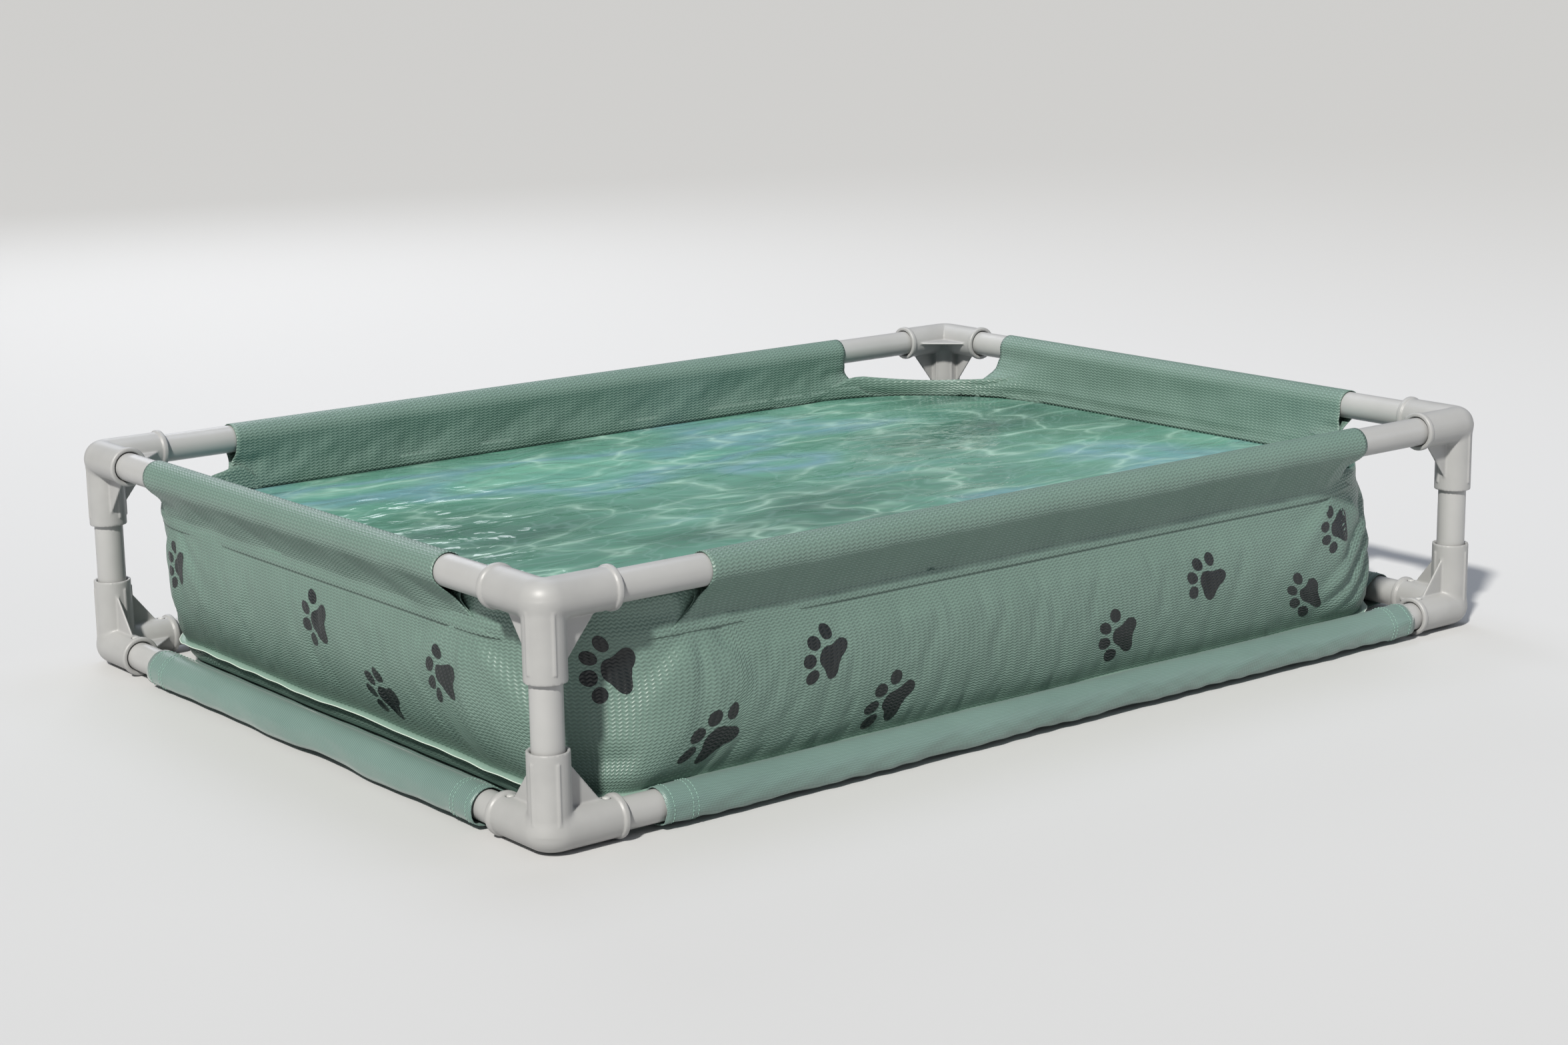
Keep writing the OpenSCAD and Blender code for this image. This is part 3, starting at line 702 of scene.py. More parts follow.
def buildTub():
    rim = rimHeights()
    v = np.linspace(0, 1, tub["wallRows"])[:, None]
    z = rim[None] + (tub["foot"] - rim[None]) * v
    wall = loopPoints(z)
    # arclength round the loop and down it, which the cloth's pattern follows
    middle = wall[len(wall) // 2]
    step = np.linalg.norm(np.roll(middle, -1, 0) - middle, axis=1)
    around = np.concatenate([[0], np.cumsum(step)])
    coarse = wall[::3, ::2]                  # every third row, every second column
    settled = relaxCloth(coarse, 4.0, 18, 5)
    move = settled - coarse
    size = np.linalg.norm(move, axis=-1, keepdims=True)
    move = move * np.minimum(1, 0.0035 / np.maximum(size, 1e-9))
    move = move * smoothstep(0.1395 - coarse[..., 2:], 0, 0.022)     # the weld holds its line
    wall = wall + spreadField(move, tub["wallRows"], loopCount)
    print("tub wall settled, most moved", round(float(size.max()) * 1000, 1), "mm")
    s = around[:-1][None] + 0 * v
    depth = (rim[None] - z)
    away = np.zeros(z.shape)
    # slow unevenness of a filled tub
    away += 0.0008 * ripples(s, z, 0.16, 6, 11) * smoothstep(depth, 0.005, 0.04)
    # creases that fan out from each sleeve's end, strongest just under it
    for side in loopSides:
        for which, gap in enumerate(topGap[side]):
            place = fromSide(side, (halfSpan[side] - gap) * (1 if which else -1), 0.01,
                             tub["weldHigh"])
            flat = wall - place
            reach = np.linalg.norm(flat, axis=-1)
            along = flat @ (fromSide(side, 1.0, 0.0, 0.0) - fromSide(side, 0.0, 0.0, 0.0))
            angle = np.arctan2(-flat[..., 2], along)
            seed = loopSides.index(side) * 2 + which
            fan = np.sin(angle * (7 + seed % 3) + seed) + 0.5 * np.sin(angle * 15 + 2 * seed)
            away += 0.0011 * fan * smoothstep(reach, 0.01, 0.03) * (1 - smoothstep(reach, 0.05, 0.15))
    # three deep slanting folds at the right end of the front wall: a valley beside a ridge each
    x, heights = wall[..., 0], wall[..., 2]
    for startX, deep, wide in tub["folds"]:
        across = (x - startX + (0.12 - heights) * 1.5) * 0.555
        window = smoothstep(heights, 0.03, 0.055) * (1 - smoothstep(heights, 0.118, 0.138))
        dent = 0.7 * np.exp(-((across - 1.9 * wide) / wide) ** 2) - np.exp(-(across / wide) ** 2)
        away += deep * dent * window * (wall[..., 1] < -0.1) * smoothstep(x, 0.30, 0.37)
    normal = gridNormals(wall)
    wall = wall + normal * away[..., None]
    # the skirt under the seam, and the floor drawn in to its middle
    turn = np.linspace(0, 1, 9)[1:, None]
    drop = tub["foot"] - (tub["foot"] - tub["floor"]) * np.sin(turn * np.pi / 2)
    foot = wall[-1]
    centre = np.array([(foot[:, 0].max() + foot[:, 0].min()) / 2, 0, 0])
    inward = -gridNormals(wall)[-1] * [1, 1, 0]
    inward /= np.linalg.norm(inward, axis=1, keepdims=True)
    skirt = foot[None] + inward[None] * (0.020 * (1 - np.cos(turn * np.pi / 2)))[..., None]
    skirt[..., 2] = drop
    shrink = np.array([0.96, 0.9, 0.8, 0.65, 0.5, 0.3, 0.12, 0.0])[:, None, None]
    floorRows = centre + (skirt[-1] - centre) * shrink
    floorRows[..., 2] = tub["floor"]
    points = np.concatenate([wall, skirt, floorRows])
    downStep = np.linalg.norm(np.diff(points, axis=0), axis=-1).mean(1)
    down = np.concatenate([[0], np.cumsum(downStep)])
    rows = len(points)
    faces, corners = gridFaces(rows, loopCount, closeColumns=True)
    top = np.append(rim, rim[0])
    uvX = around[corners[..., 1]]
    uvY = -down[corners[..., 0]] + top[corners[..., 1]]
    return points, faces, np.stack([uvX, uvY], -1), around


tubPoints, tubFaces, tubUv, tubAround = buildTub()
wallPart = tubPoints[:tub["wallRows"]]
tubPiece = addPiece("tubBody", tubPoints, tubFaces[:, ::-1], tubCloth,
                    uv=tubUv[:, ::-1], closed=False,
                    replaces=["tub_floor", "tub_wall_front", "tub_wall_back", "tub_wall_left",
                              "tub_wall_right", "tub_corner_front_left",
                              "tub_corner_front_right", "tub_corner_back_left",
                              "tub_corner_back_right"])
thicken(tubPiece, tub["thickness"])
print("tub body")


# Top sleeves

sleeve = {"radius": 0.0136, "flare": 0.046, "sag": 0.0012, "lengthStep": 0.005,
          "thickness": 0.0007}


# a point a metres from the corner axis and inset from the rail turns round the tub's own corner
def roundCorner(a, inset, otherInset, radius):
    begin = otherInset + radius
    angle = np.clip((begin - a) / radius, 0, np.pi / 2)
    turnedA = np.where(a < begin, begin - radius * np.sin(angle), a)
    return turnedA, inset + radius * (1 - np.cos(angle))


# the loop round the rail: both layers leave the weld, run straight to the rail and round it
def sleeveProfile(side):
    weld = np.array([insetAt(side, np.array(0.146)), 0.1515 - highZ])
    r = sleeve["radius"]
    far = math.hypot(*weld)
    toWeld = math.atan2(weld[1], weld[0])
    half = math.acos(r / far)
    outer, inner = toWeld - half, toWeld + half         # where the straight runs touch the rail
    arc = np.linspace(outer, inner - 2 * math.pi, 34)
    circle = np.stack([np.cos(arc), np.sin(arc)], -1) * r
    t = np.linspace(0, 1, 12)[:-1, None]
    outerRun = weld + (circle[0] - weld) * t
    outerRun[:, 0] += sleeve["sag"] * np.sin(np.pi * t[:, 0])
    innerRun = circle[-1] + (weld - circle[-1]) * (t + 1 / 11)
    innerRun[:, 0] -= sleeve["sag"] * 0.6 * np.sin(np.pi * (t[:, 0] + 1 / 11))
    bandZ = np.linspace(tub["weldLow"] - highZ, weld[1], 5)[:-1]
    bandInset = insetAt(side, bandZ + highZ)
    lowOuter = np.stack([bandInset - 0.0007, bandZ], -1)
    lowInner = np.stack([bandInset + 0.0007, bandZ], -1)[::-1]
    outerRun[:3, 0] -= 0.0007 * np.array([1, 0.8, 0.4])
    innerRun[-3:, 0] += 0.0007 * np.array([0.4, 0.8, 1])
    return np.concatenate([lowOuter, outerRun, circle, innerRun, lowInner])


def buildSleeve(side):
    profile = sleeveProfile(side)
    inset, z = profile[:, 0], profile[:, 1] + highZ
    left, right = ends[side]
    drop = np.clip((highZ - 0.006 - z) / (highZ - 0.006 - tub["weldLow"]), 0, 1)
    flare = sleeve["flare"] * (1 - np.sqrt(1 - drop**2 * 0.995))
    span = halfSpan[side]
    start = -span + topGap[side][0] - flare
    end = span - topGap[side][1] + flare
    columns = int((2 * span - sum(topGap[side])) / sleeve["lengthStep"])
    p = np.linspace(0, 1, columns)
    p = p - 0.035 * np.sin(2 * np.pi * p)                # closer together near the two ends
    along = start[:, None] + (end - start)[:, None] * p
    heights = z[:, None] + 0 * along
    insets = inset[:, None] + 0 * along
    # past the sleeve's end the two layers close up to one
    fromEnd = np.minimum(along + span - topGap[side][0], span - topGap[side][1] - along)
    middleInset = np.where(heights > tub["weldHigh"],
                           insetAt(side, np.array(0.1515)) * (highZ - tubeRadius - heights)
                           / (highZ - tubeRadius - tub["weldHigh"]),
                           insetAt(side, np.minimum(heights, 0.152)))
    open_ = 0.12 + 0.88 * smoothstep(fromEnd, -0.012, 0.045)
    open_ = open_ + (1 - open_) * smoothstep(heights, highZ - 0.024, highZ - 0.012)
    outward = np.where(insets < middleInset, -0.0006, 0.0006)
    insets = middleInset + (insets - middleInset) * open_ + outward * (1 - open_)
    # slow unevenness, more on the hanging part than round the rail
    loose = smoothstep(highZ - heights, -0.004, 0.02) * smoothstep(heights, 0.142, 0.156)
    seed = 20 + loopSides.index(side)
    insets = insets + 0.0011 * ripples(along, heights, 0.075, 5, seed) * loose
    insets = insets + 0.0005 * ripples(along, heights, 0.028, 4, seed + 9) * loose
    # round the corner below the rail only: the loop's upper part stays straight on its tube
    low = np.minimum(heights, 0.152)
    turning = 1 - smoothstep(heights, 0.155, 0.182)
    leftA, leftInset = roundCorner(along + span, insets, insetAt(left, low),
                                   cornerRadius(low, left, side))
    rightA, rightInset = roundCorner(span - along, insets, insetAt(right, low),
                                     cornerRadius(low, side, right))
    leftA = along + span + (leftA - along - span) * turning
    rightA = span - along + (rightA - span + along) * turning
    leftInset = insets + (leftInset - insets) * turning
    rightInset = insets + (rightInset - insets) * turning
    isLeft = along < 0
    along2 = np.where(isLeft, leftA - span, span - rightA)
    insets2 = np.where(isLeft, leftInset, rightInset)
    points = fromSide(side, along2, insets2, heights)
    around = np.concatenate([[0], np.cumsum(np.linalg.norm(np.diff(profile, axis=0), axis=1))])
    faces, corners = gridFaces(*points.shape[:2])
    uv = np.stack([along[corners[..., 0], corners[..., 1]], around[corners[..., 0]]], -1)
    piece = addPiece("tubSleeve_" + side, points, faces[:, ::-1], tubCloth,
                     uv=uv[:, ::-1], closed=False)
    thicken(piece, sleeve["thickness"])


for side in loopSides:
    buildSleeve(side)
print("top sleeves")


# Seam flange round the foot of the tub

flange = {"reach": 0.0058, "thickness": 0.0012, "edge": 0.0009, "wave": 0.0005}


def buildFlange():
    foot = wallPart[-1]
    out = gridNormals(wallPart)[-1] * [1, 1, 0]
    out /= np.linalg.norm(out, axis=1, keepdims=True)
    s = tubAround[:-1]
    wave = flange["wave"] * ripples(s, s * 0, 0.05, 5, 31)
    r, t = flange["reach"], flange["thickness"] / 2
    section = np.array([(-0.002, t), (r * 0.5, t), (r, t * 0.8), (r + 0.0004, 0), (r, -t * 0.8),
                        (r * 0.5, -t), (-0.002, -t)])
    share = np.clip(section[:, 0] / r, 0, 1)
    points = (foot[None] + out[None] * section[:, 0, None, None]
              + np.array([0, 0, 1]) * (section[:, 1, None] + share[:, None] * wave
                                       - share[:, None] * 0.0012)[..., None])
    faces, corners = gridFaces(len(section), loopCount, closeRows=True, closeColumns=True)
    uv = np.stack([tubAround[corners[..., 1]], corners[..., 0] * 0.001], -1)
    addPiece("tubFlange", points, faces, weldCloth, uv=uv)
    # the pale cut edge: partly its own pale colour, partly a painted highlight along the flange's lit
    # edge
    angle = np.linspace(0, 2 * np.pi, 6, endpoint=False)
    line = foot + out * (r + 0.0004)
    line[:, 2] += wave - 0.0012
    edge = (line[None] + out[None] * (np.cos(angle) * flange["edge"] / 2)[:, None, None]
            + np.array([0, 0, 1]) * (np.sin(angle) * flange["edge"] / 2)[:, None, None])
    faces, _ = gridFaces(len(angle), loopCount, closeRows=True, closeColumns=True)
    addPiece("tubFlangeEdge", edge, faces, paleEdgeAndHighlight)


buildFlange()
print("seam flange")


# Paw prints

# (side, metres to the right of the side's middle seen from outside, height, degrees, size)
prints = [("front", -0.420, 0.118, 171, 1.05), ("front", -0.328, 0.053, 140, 1.05),
          ("front", -0.238, 0.099, 158, 1.0), ("front", -0.162, 0.050, 164, 1.0),
          ("front", 0.076, 0.060, 170, 1.0), ("front", 0.181, 0.091, 139, 1.0),
          ("front", 0.294, 0.058, 174, 1.0), ("front", 0.358, 0.114, 170, 0.95),
          ("left", -0.237, 0.106, 172, 1.0), ("left", 0.011, 0.104, 172, 1.0),
          ("left", 0.086, 0.055, 149, 1.0), ("left", 0.198, 0.097, 156, 1.0),
          ("right", -0.20, 0.07, 150, 1.0), ("right", -0.03, 0.105, 172, 1.0),
          ("right", 0.14, 0.085, 140, 1.0),
          ("back", -0.33, 0.09, 170, 1.0), ("back", -0.21, 0.055, 140, 1.0),
          ("back", -0.05, 0.10, 160, 1.0), ("back", 0.09, 0.06, 175, 1.0),
          ("back", 0.22, 0.105, 150, 1.0), ("back", 0.33, 0.065, 172, 1.0)]
# the pad is given as (degrees round from the toes, millimetres from its middle)
paw = {"toeReach": 0.0226, "toeAngles": (-58, -18, 20, 55), "toe": (0.0064, 0.0056),
       "pad": [(-180, 8.8), (-160, 9.4), (-146, 13.0), (-132, 17.3), (-118, 19.6), (-103, 18.2),
               (-86, 13.6), (-68, 11.3), (-22, 13.0), (20, 13.1), (68, 11.3), (86, 13.4),
               (100, 16.0), (113, 17.1), (127, 15.4), (143, 11.4), (160, 9.0), (180, 8.8)],
       "lift": 0.00052, "rings": 8, "steps": 40}


# outline of one blob of a print: radius as a function of the angle round its middle
def blobs():
    angle = np.linspace(0, 2 * np.pi, paw["steps"], endpoint=False)
    out = []
    for degrees in paw["toeAngles"]:
        a = math.radians(degrees)
        long, short = paw["toe"]
        x, y = long * np.cos(angle), short * np.sin(angle)
        cx, cy = paw["toeReach"] * math.cos(a), paw["toeReach"] * math.sin(a)
        out.append(np.stack([cx + x * math.cos(a) - y * math.sin(a),
                             cy + x * math.sin(a) + y * math.cos(a)], -1))
    r = alongCurve(paw["pad"], (np.degrees(angle) + 180) % 360 - 180) / 1000
    out.append(np.stack([r * np.cos(angle), r * np.sin(angle)], -1))
    return out


# place of a point of the wall grid at fractional row and column, straight between its points
def onWall(row, column, grid):
    r0 = np.clip(row.astype(int), 0, grid.shape[0] - 2)
    c0 = np.floor(column).astype(int)
    fr, fc = (row - r0)[..., None], (column - c0)[..., None]
    c0, c1 = c0 % loopCount, (c0 + 1) % loopCount
    return (grid[r0, c0] * (1 - fr) * (1 - fc) + grid[r0 + 1, c0] * fr * (1 - fc)
            + grid[r0, c1] * (1 - fr) * fc + grid[r0 + 1, c1] * fr * fc)


def buildPrints():
    normal = gridNormals(wallPart)
    allPoints, allFaces, allUv, start = [], [], [], 0
    ringShare = np.linspace(0, 1, paw["rings"])
    for side, along, height, degrees, size in prints:
        target = fromSide(side, along, 0.0, height)
        axis = 0 if side in ("front", "back") else 1
        row = tub["wallRows"] // 2
        gap = np.abs(wallPart[row, :, axis] - target[axis])
        other = 1 - axis
        gap = gap + (np.sign(wallPart[row, :, other]) != np.sign(target[other])) * 9
        column = int(np.argmin(gap))
        rowAt = float(np.interp(-height, -wallPart[:, column, 2], np.arange(tub["wallRows"])))
        rowStep = np.linalg.norm(wallPart[row + 1, column] - wallPart[row, column])
        a = math.radians(degrees)
        for outline in blobs():
            flat = outline * size
            flat = np.stack([flat[:, 0] * math.cos(a) - flat[:, 1] * math.sin(a),
                             flat[:, 0] * math.sin(a) + flat[:, 1] * math.cos(a)], -1)
            centre = flat.mean(0)
            spread = centre + (flat[None] - centre) * ringShare[:, None, None]
            # metres across to columns by the loop's own arclength, metres up to rows
            s = tubAround[column] + spread[..., 0]
            total = tubAround[-1]
            columns = np.interp(s % total, tubAround, np.arange(loopCount + 1))
            rows = rowAt - spread[..., 1] / rowStep
            place = (onWall(rows, columns, wallPart)
                     + onWall(rows, columns, normal) * paw["lift"])
            faces, corners = gridFaces(paw["rings"], paw["steps"], closeColumns=True)
            allPoints.append(place.reshape(-1, 3))
            allFaces.append(faces + start)
            uv = np.stack([s, height + spread[..., 1]], -1)
            allUv.append(uv[corners[..., 0], corners[..., 1] % paw["steps"]])
            start += place.size // 3
    return np.concatenate(allPoints), np.concatenate(allFaces), np.concatenate(allUv)


printPoints, printFaces, printUv = buildPrints()
addPiece("pawPrints", printPoints, printFaces[:, ::-1], printInk,
         uv=printUv[:, ::-1], closed=False)
print("paw prints")


# Lower sleeves and base sheet

base = {"gap": {"front": (0.093, 0.074), "right": (0.088, 0.083), "back": (0.090, 0.088),
                "left": (0.103, 0.080)},
        "seam": {"front": 0.0235, "back": 0.0235, "left": 0.034, "right": 0.034},
        "radius": 0.0137, "slack": 0.0026, "lengthStep": 0.005, "thickness": 0.0008,
        "hem": 0.031}


# the lower loop: flat from the seam, round under the rail, a crease low on the outside, up over
# the rail and down again to the seam
def lowerProfile(side):
    seam = base["seam"][side]
    r = base["radius"]
    start = np.array([[seam, 0.0016 - lowZ], [seam * 0.55, 0.0012 - lowZ]])
    angle = np.radians(np.linspace(-84, -262, 44))
    a = np.degrees(angle)
    bulge = (base["slack"] * np.exp(-((a + 143) / 26) ** 2)      # the creased lower third
             + 0.0012 * np.exp(-((a + 185) / 25) ** 2))
    radius = np.minimum(r + bulge, np.where(a > -150, (lowZ - 0.0009)
                                            / np.maximum(-np.sin(angle), 0.2), 1.0))
    circle = np.stack([np.cos(angle), np.sin(angle)], -1) * radius[:, None]
    t = np.linspace(0, 1, 9)[1:, None]
    # past the top the cloth runs in a full, rounded curve to the seam
    topEnd = np.radians(np.linspace(-262, -305, 12))[1:]
    over = np.stack([np.cos(topEnd), np.sin(topEnd)], -1) * r
    foot = np.array([seam, 0.0030 - lowZ])
    fall = over[-1] + (foot - over[-1]) * t
    fall += np.array([0.0012, 0.0014]) * np.sin(np.pi * t)
    return np.concatenate([start, circle, over, fall])


def buildLowerSleeve(side):
    profile = lowerProfile(side)
    span = halfSpan[side]
    start, end = -span + base["gap"][side][0], span - base["gap"][side][1]
    columns = int((end - start) / base["lengthStep"])
    along = np.linspace(start, end, columns)[None] + 0 * profile[:, :1]
    around = np.concatenate([[0], np.cumsum(np.linalg.norm(np.diff(profile, axis=0), axis=1))])
    seed = 50 + loopSides.index(side)
    out = profile / np.maximum(np.linalg.norm(profile, axis=1, keepdims=True), 1e-9)
    free = smoothstep(np.linalg.norm(profile, axis=1), 0.0136, 0.0152)[:, None]
    move = (0.0008 * ripples(along, around[:, None] + 0 * along, 0.09, 5, seed)
            + 0.0004 * ripples(along, around[:, None] * 2, 0.03, 4, seed + 9)) * (0.15 + free)
    fromEnd = np.minimum(along - start, end - along)
    step = 0.0005 * (1 - smoothstep(fromEnd, base["hem"] - 0.001, base["hem"] + 0.001))
    inset = profile[:, :1] + out[:, :1] * (move + step)
    z = np.maximum(lowZ + profile[:, 1:] + out[:, 1:] * (move + step), 0.0008)
    inset = inset + 0 * along
    points = fromSide(side, along, inset, z)
    faces, corners = gridFaces(*points.shape[:2])
    uv = np.stack([along[corners[..., 0], corners[..., 1]], around[corners[..., 0]]], -1)
    piece = addPiece("baseSleeve_" + side, points, faces[:, ::-1], baseCloth,
                     uv=uv[:, ::-1], closed=False, replaces=["base_sleeve_" + side])
    thicken(piece, base["thickness"])
    return points


lowerSleeves = {side: buildLowerSleeve(side) for side in loopSides}


# the sheet on the ground: loops of a cut-cornered rectangle drawn in to the middle
def buildBaseSheet():
    x1, y1 = halfLength - base["seam"]["left"] + 0.004, halfWidth - base["seam"]["front"] + 0.004
    cut = 0.060
    outline = []
    for (ax, ay), (bx, by) in (((-x1 + cut, -y1), (x1 - cut, -y1)), ((x1, -y1 + cut), (x1, y1 - cut)),
                               ((x1 - cut, y1), (-x1 + cut, y1)), ((-x1, y1 - cut), (-x1, -y1 + cut))):
        t = np.linspace(0, 1, 60)[:, None]
        outline.append(np.array([ax, ay]) + (np.array([bx, by]) - np.array([ax, ay])) * t)
    edge = np.concatenate(outline)
    share = np.array([1, 0.985, 0.97, 0.95, 0.93, 0.9, 0.86, 0.8, 0.65, 0.4, 0.15, 0])[:, None, None]
    flat = edge[None] * share
    x, y = flat[..., 0], flat[..., 1]
    z = 0.0014 + 0.0007 * (ripples(x, y, 0.06, 5, 71) + 1.2) * smoothstep(share[..., 0], 0.86, 0.95)
    points = np.stack([x, y, np.maximum(z, 0.0009)], -1)
    faces, corners = gridFaces(len(share), len(edge), closeColumns=True)
    uv = flat[corners[..., 0], corners[..., 1] % len(edge)]
    piece = addPiece("baseSheet", points, faces, baseCloth, uv=uv, closed=False,
                     replaces=["base_sheet"])
    thicken(piece, base["thickness"])


buildBaseSheet()
print("lower sleeves and base sheet")


# Stitches

stitch = {"length": 0.0026, "pitch": 0.0033, "radius": 0.00032}


# one small capsule per stitch: six rings of five points along its own line, lifted off the cloth
def stitchMesh(places, directions, normals):
    t = np.array([-0.5, -0.42, -0.2, 0.2, 0.42, 0.5])
    thick = np.array([0.02, 0.6, 1.0, 1.0, 0.6, 0.02]) * stitch["radius"]
    lift = np.array([-0.9, -0.2, 0.5, 0.5, -0.2, -0.9]) * stitch["radius"]
    angle = np.linspace(0, 2 * np.pi, 5, endpoint=False)
    side = np.cross(directions, normals)
    ring = (places[:, None, None] + directions[:, None, None] * (t * stitch["length"])[:, None, None]
            + normals[:, None, None] * (lift[:, None] + thick[:, None] * np.sin(angle))[..., None]
            + side[:, None, None] * (thick[:, None] * np.cos(angle))[..., None])
    faces, _ = gridFaces(6, 5, closeColumns=True)
    count = len(places)
    faces = faces[None] + (np.arange(count) * 30)[:, None, None]
    return ring.reshape(-1, 3), faces.reshape(-1, 4)


def alongLine(line, normals):     # stitch places every pitch along a polyline
    step = np.linalg.norm(np.diff(line, axis=0), axis=1)
    length = np.concatenate([[0], np.cumsum(step)])
    at = np.arange(stitch["pitch"], length[-1], stitch["pitch"])
    places = np.stack([np.interp(at, length, line[:, k]) for k in range(3)], -1)
    ahead = np.stack([np.interp(at + 0.0005, length, line[:, k]) for k in range(3)], -1)
    direction = ahead - places
    direction /= np.maximum(np.linalg.norm(direction, axis=1, keepdims=True), 1e-9)
    up = np.stack([np.interp(at, length, normals[:, k]) for k in range(3)], -1)
    up -= direction * (up * direction).sum(1, keepdims=True)
    up /= np.maximum(np.linalg.norm(up, axis=1, keepdims=True), 1e-9)
    return places, direction, up


def buildStitches():
    places, directions, normals = [], [], []
    for side in loopSides:
        grid = lowerSleeves[side]
        normal = gridNormals(grid, closeColumns=False)
        centreLine = grid.mean(0)
        if ((grid - centreLine) * normal).sum() < 0:
            normal = -normal
        along = np.linalg.norm(grid[0] - grid[0, 0], axis=1)
        for offset in (0.007, 0.024, base["hem"] - 0.0025):
            for where in (offset, along[-1] - offset):
                column = np.interp(where, along, np.arange(len(along)))
                c0 = int(column)
                share = column - c0
                line = grid[:, c0] * (1 - share) + grid[:, c0 + 1] * share
                up = normal[:, c0]
                line = line + up * 0.0005
                got = alongLine(line[4:-4], up[4:-4])
                for target, value in zip((places, directions, normals), got):
                    target.append(value)
        # the seam that closes the lower loop, on its upper layer
        line, up = grid[-3] + [0, 0, 0.0005], normal[-3]
        got = alongLine(line, up)
        for target, value in zip((places, directions, normals), got):
            target.append(value)
    points, faces = stitchMesh(*(np.concatenate(v) for v in (places, directions, normals)))
    addPiece("baseStitches", points, faces, threadMaterial)


buildStitches()
print("stitches")


# Drain

low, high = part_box("drain_fitting")
lean = math.atan2(insetAt("right", np.array(0.04)) - insetAt("right", np.array(0.08)), 0.04)
axis = np.array([math.cos(lean), 0, -math.sin(lean)])
drainY = (low.y + high.y) / 2
flangeR = (high.y - low.y) / 2
# the fitting's foot is its flange's middle, worked out from its box and its lean
drainPlace = np.array([low.x + flangeR * math.sin(lean), drainY, high.z - flangeR * math.cos(lean)])
drainShape = {"bore": 0.009, "spoutFoot": 0.0125, "spoutEnd": 0.0112, "spout": 0.022,
              "rounding": 0.0008}
d = drainShape
# profile: a flange that thins to its rim, then a spout that narrows, open right through
drainRing = rounded([(d["bore"], 0.0), (flangeR - 0.001, -0.0012), (flangeR, 0.0005),
                     (flangeR - 0.003, 0.0018), (d["spoutFoot"], 0.002),
                     (d["spoutEnd"], d["spout"]), (d["bore"], d["spout"]), (d["bore"], 0.0)],
                    d["rounding"])
turned("drainFitting", drainRing, drainPlace, axis, drainPlastic,
       replaces=["drain_fitting"])
print("drain", [round(float(v), 4) for v in drainPlace], round(math.degrees(lean), 1))


# Water

water = {"level": 0.1408, "wave": 0.0012}


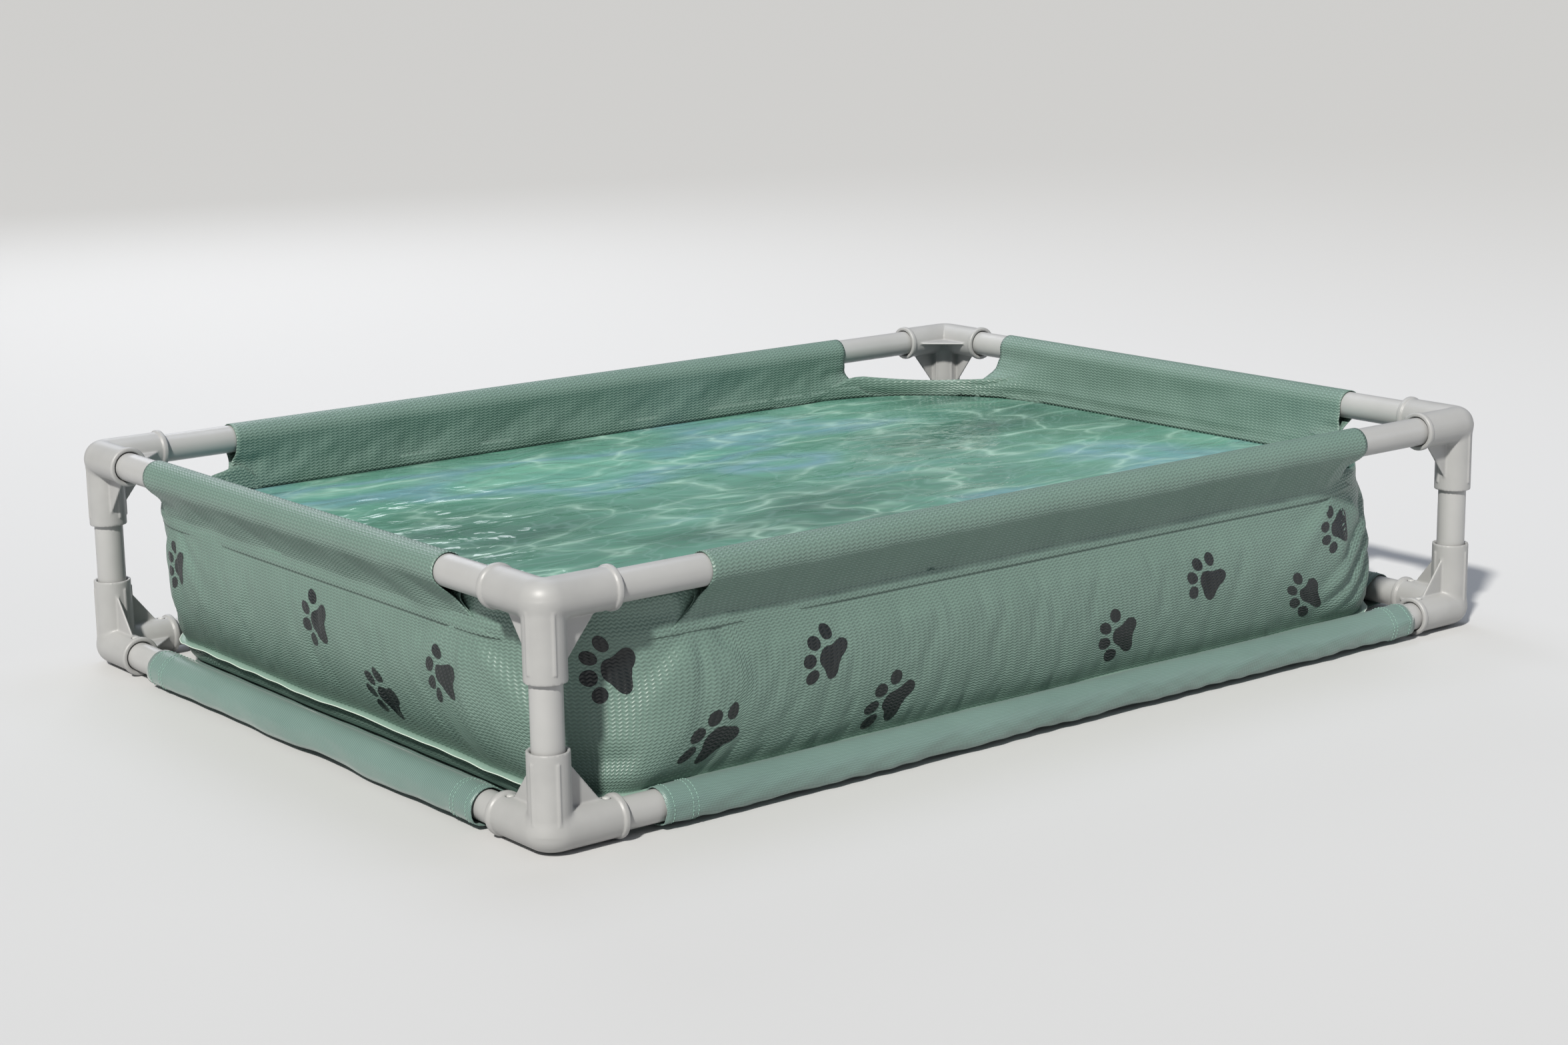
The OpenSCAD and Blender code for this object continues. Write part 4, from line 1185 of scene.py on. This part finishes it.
def waterMaterial():      # clear water over a green cloth: the net of light on it is what is seen
    material, tree, shader = newMaterial("clear water over green cloth", "#6fa08c", 0.06, IOR=1.333)
    place = addNode(tree, "ShaderNodeTexCoord").outputs["Object"]
    stretch = addNode(tree, "ShaderNodeMapping",
                      inputs={"Vector": place, "Scale": (0.55, 1.25, 1.0),
                              "Rotation": (0, 0, math.radians(-12))}).outputs[0]
    bend = addNode(tree, "ShaderNodeTexNoise", inputs={"Vector": stretch, "Scale": 7.0,
                                                       "Detail": 3.0}).outputs["Color"]
    warped = addNode(tree, "ShaderNodeVectorMath", {"operation": "MULTIPLY_ADD"},
                     {0: bend, 1: (0.22, 0.22, 0.22), 2: stretch}).outputs[0]
    cells = addNode(tree, "ShaderNodeTexVoronoi", {"feature": "DISTANCE_TO_EDGE"},
                    {"Vector": warped, "Scale": 12.0}).outputs["Distance"]
    fineCells = addNode(tree, "ShaderNodeTexVoronoi", {"feature": "DISTANCE_TO_EDGE"},
                        {"Vector": warped, "Scale": 31.0}).outputs["Distance"]
    # painted caustics: the net of light under moving water, drawn as bright lines along the cells'
    # edges, coarse and fine
    paintedCausticNet = colourRamp(tree, cells, [(0.0, "#ffffff"), (0.05, "#8a8a8a"), (0.16, "#000000")])
    paintedFineCaustics = colourRamp(tree, fineCells, [(0.0, "#b0b0b0"), (0.07, "#303030"), (0.2, "#000000")])
    patch = addNode(tree, "ShaderNodeTexNoise", inputs={"Vector": stretch, "Scale": 5.0,
                                                        "Detail": 2.0}).outputs["Fac"]
    # the light lines come and go, as they do under moving water
    broken = addNode(tree, "ShaderNodeMapRange",
                     inputs={"Value": addNode(tree, "ShaderNodeTexNoise",
                                              inputs={"Vector": place, "Scale": 13.0}).outputs["Fac"],
                             "From Min": 0.38, "From Max": 0.66, "To Min": 0.08,
                             "To Max": 0.5}).outputs[0]
    deep = colourRamp(tree, patch, [(0.3, "#35594d"), (0.42, "#4e7c6a"), (0.55, "#5d907e"),
                                    (0.62, "#6a949c"), (0.66, "#62988a"), (0.8, "#78b096")])
    lit = addNode(tree, "ShaderNodeMix", {"data_type": "RGBA"},
                  {"Factor": formula(tree, "MULTIPLY", paintedCausticNet, broken, clamp=True), "A": deep,
                   "B": linear("#c8ead8")}).outputs["Result"]
    lit = addNode(tree, "ShaderNodeMix", {"data_type": "RGBA"},
                  {"Factor": formula(tree, "MULTIPLY", paintedFineCaustics, 0.26, clamp=True), "A": lit,
                   "B": linear("#b4d4d2")}).outputs["Result"]
    tree.links.new(lit, shader.inputs["Base Color"])
    swell = addNode(tree, "ShaderNodeTexNoise", inputs={"Vector": stretch, "Scale": 22.0,
                                                        "Detail": 3.0, "Distortion": 0.8})
    bump = addNode(tree, "ShaderNodeBump", inputs={"Strength": 0.7, "Distance": 0.004,
                                                   "Height": swell.outputs["Fac"]})
    tree.links.new(bump.outputs[0], shader.inputs["Normal"])
    return material


def buildWater():
    level = water["level"]
    rim = rimHeights()                      # the edge lies in the thickness of the wall
    rows = (rim - level) / (rim - tub["foot"]) * (tub["wallRows"] - 1)
    columns = np.arange(loopCount)
    edge = onWall(rows, columns, wallPart)[::3]
    edge[:, 2] = level
    inward = -onWall(rows, columns, gridNormals(wallPart))[::3] * [1, 1, 0]
    inward /= np.linalg.norm(inward, axis=1, keepdims=True)
    count = len(edge)
    below = edge + inward * 0.010 - [0, 0, 0.004]
    low = loopPoints(np.full((1, loopCount), 0.05), 0.020)[0][::3]
    bottom = low.copy()
    bottom[:, 2] = 0.012
    centre = np.array([-0.01, 0, 0])
    share = np.linspace(0, 1, 70)[:, None, None] ** 0.85
    surface = centre + (edge - centre) * share
    x, y = surface[..., 0], surface[..., 1]
    calm = 1 - smoothstep(share[..., 0], 0.93, 1.0)
    surface[..., 2] = level + water["wave"] * (ripples(x, y, 0.11, 7, 91)
                                               + 0.4 * ripples(x, y, 0.04, 7, 92)) * calm * 0.6
    under = centre + (bottom - centre) * np.linspace(1, 0, 4)[:, None, None]
    under[..., 2] = 0.012
    points = np.concatenate([surface, below[None], low[None], under])
    faces, _ = gridFaces(len(points), count, closeColumns=True)
    addPiece("water", points, faces, waterMaterial())


buildWater()
print("water")
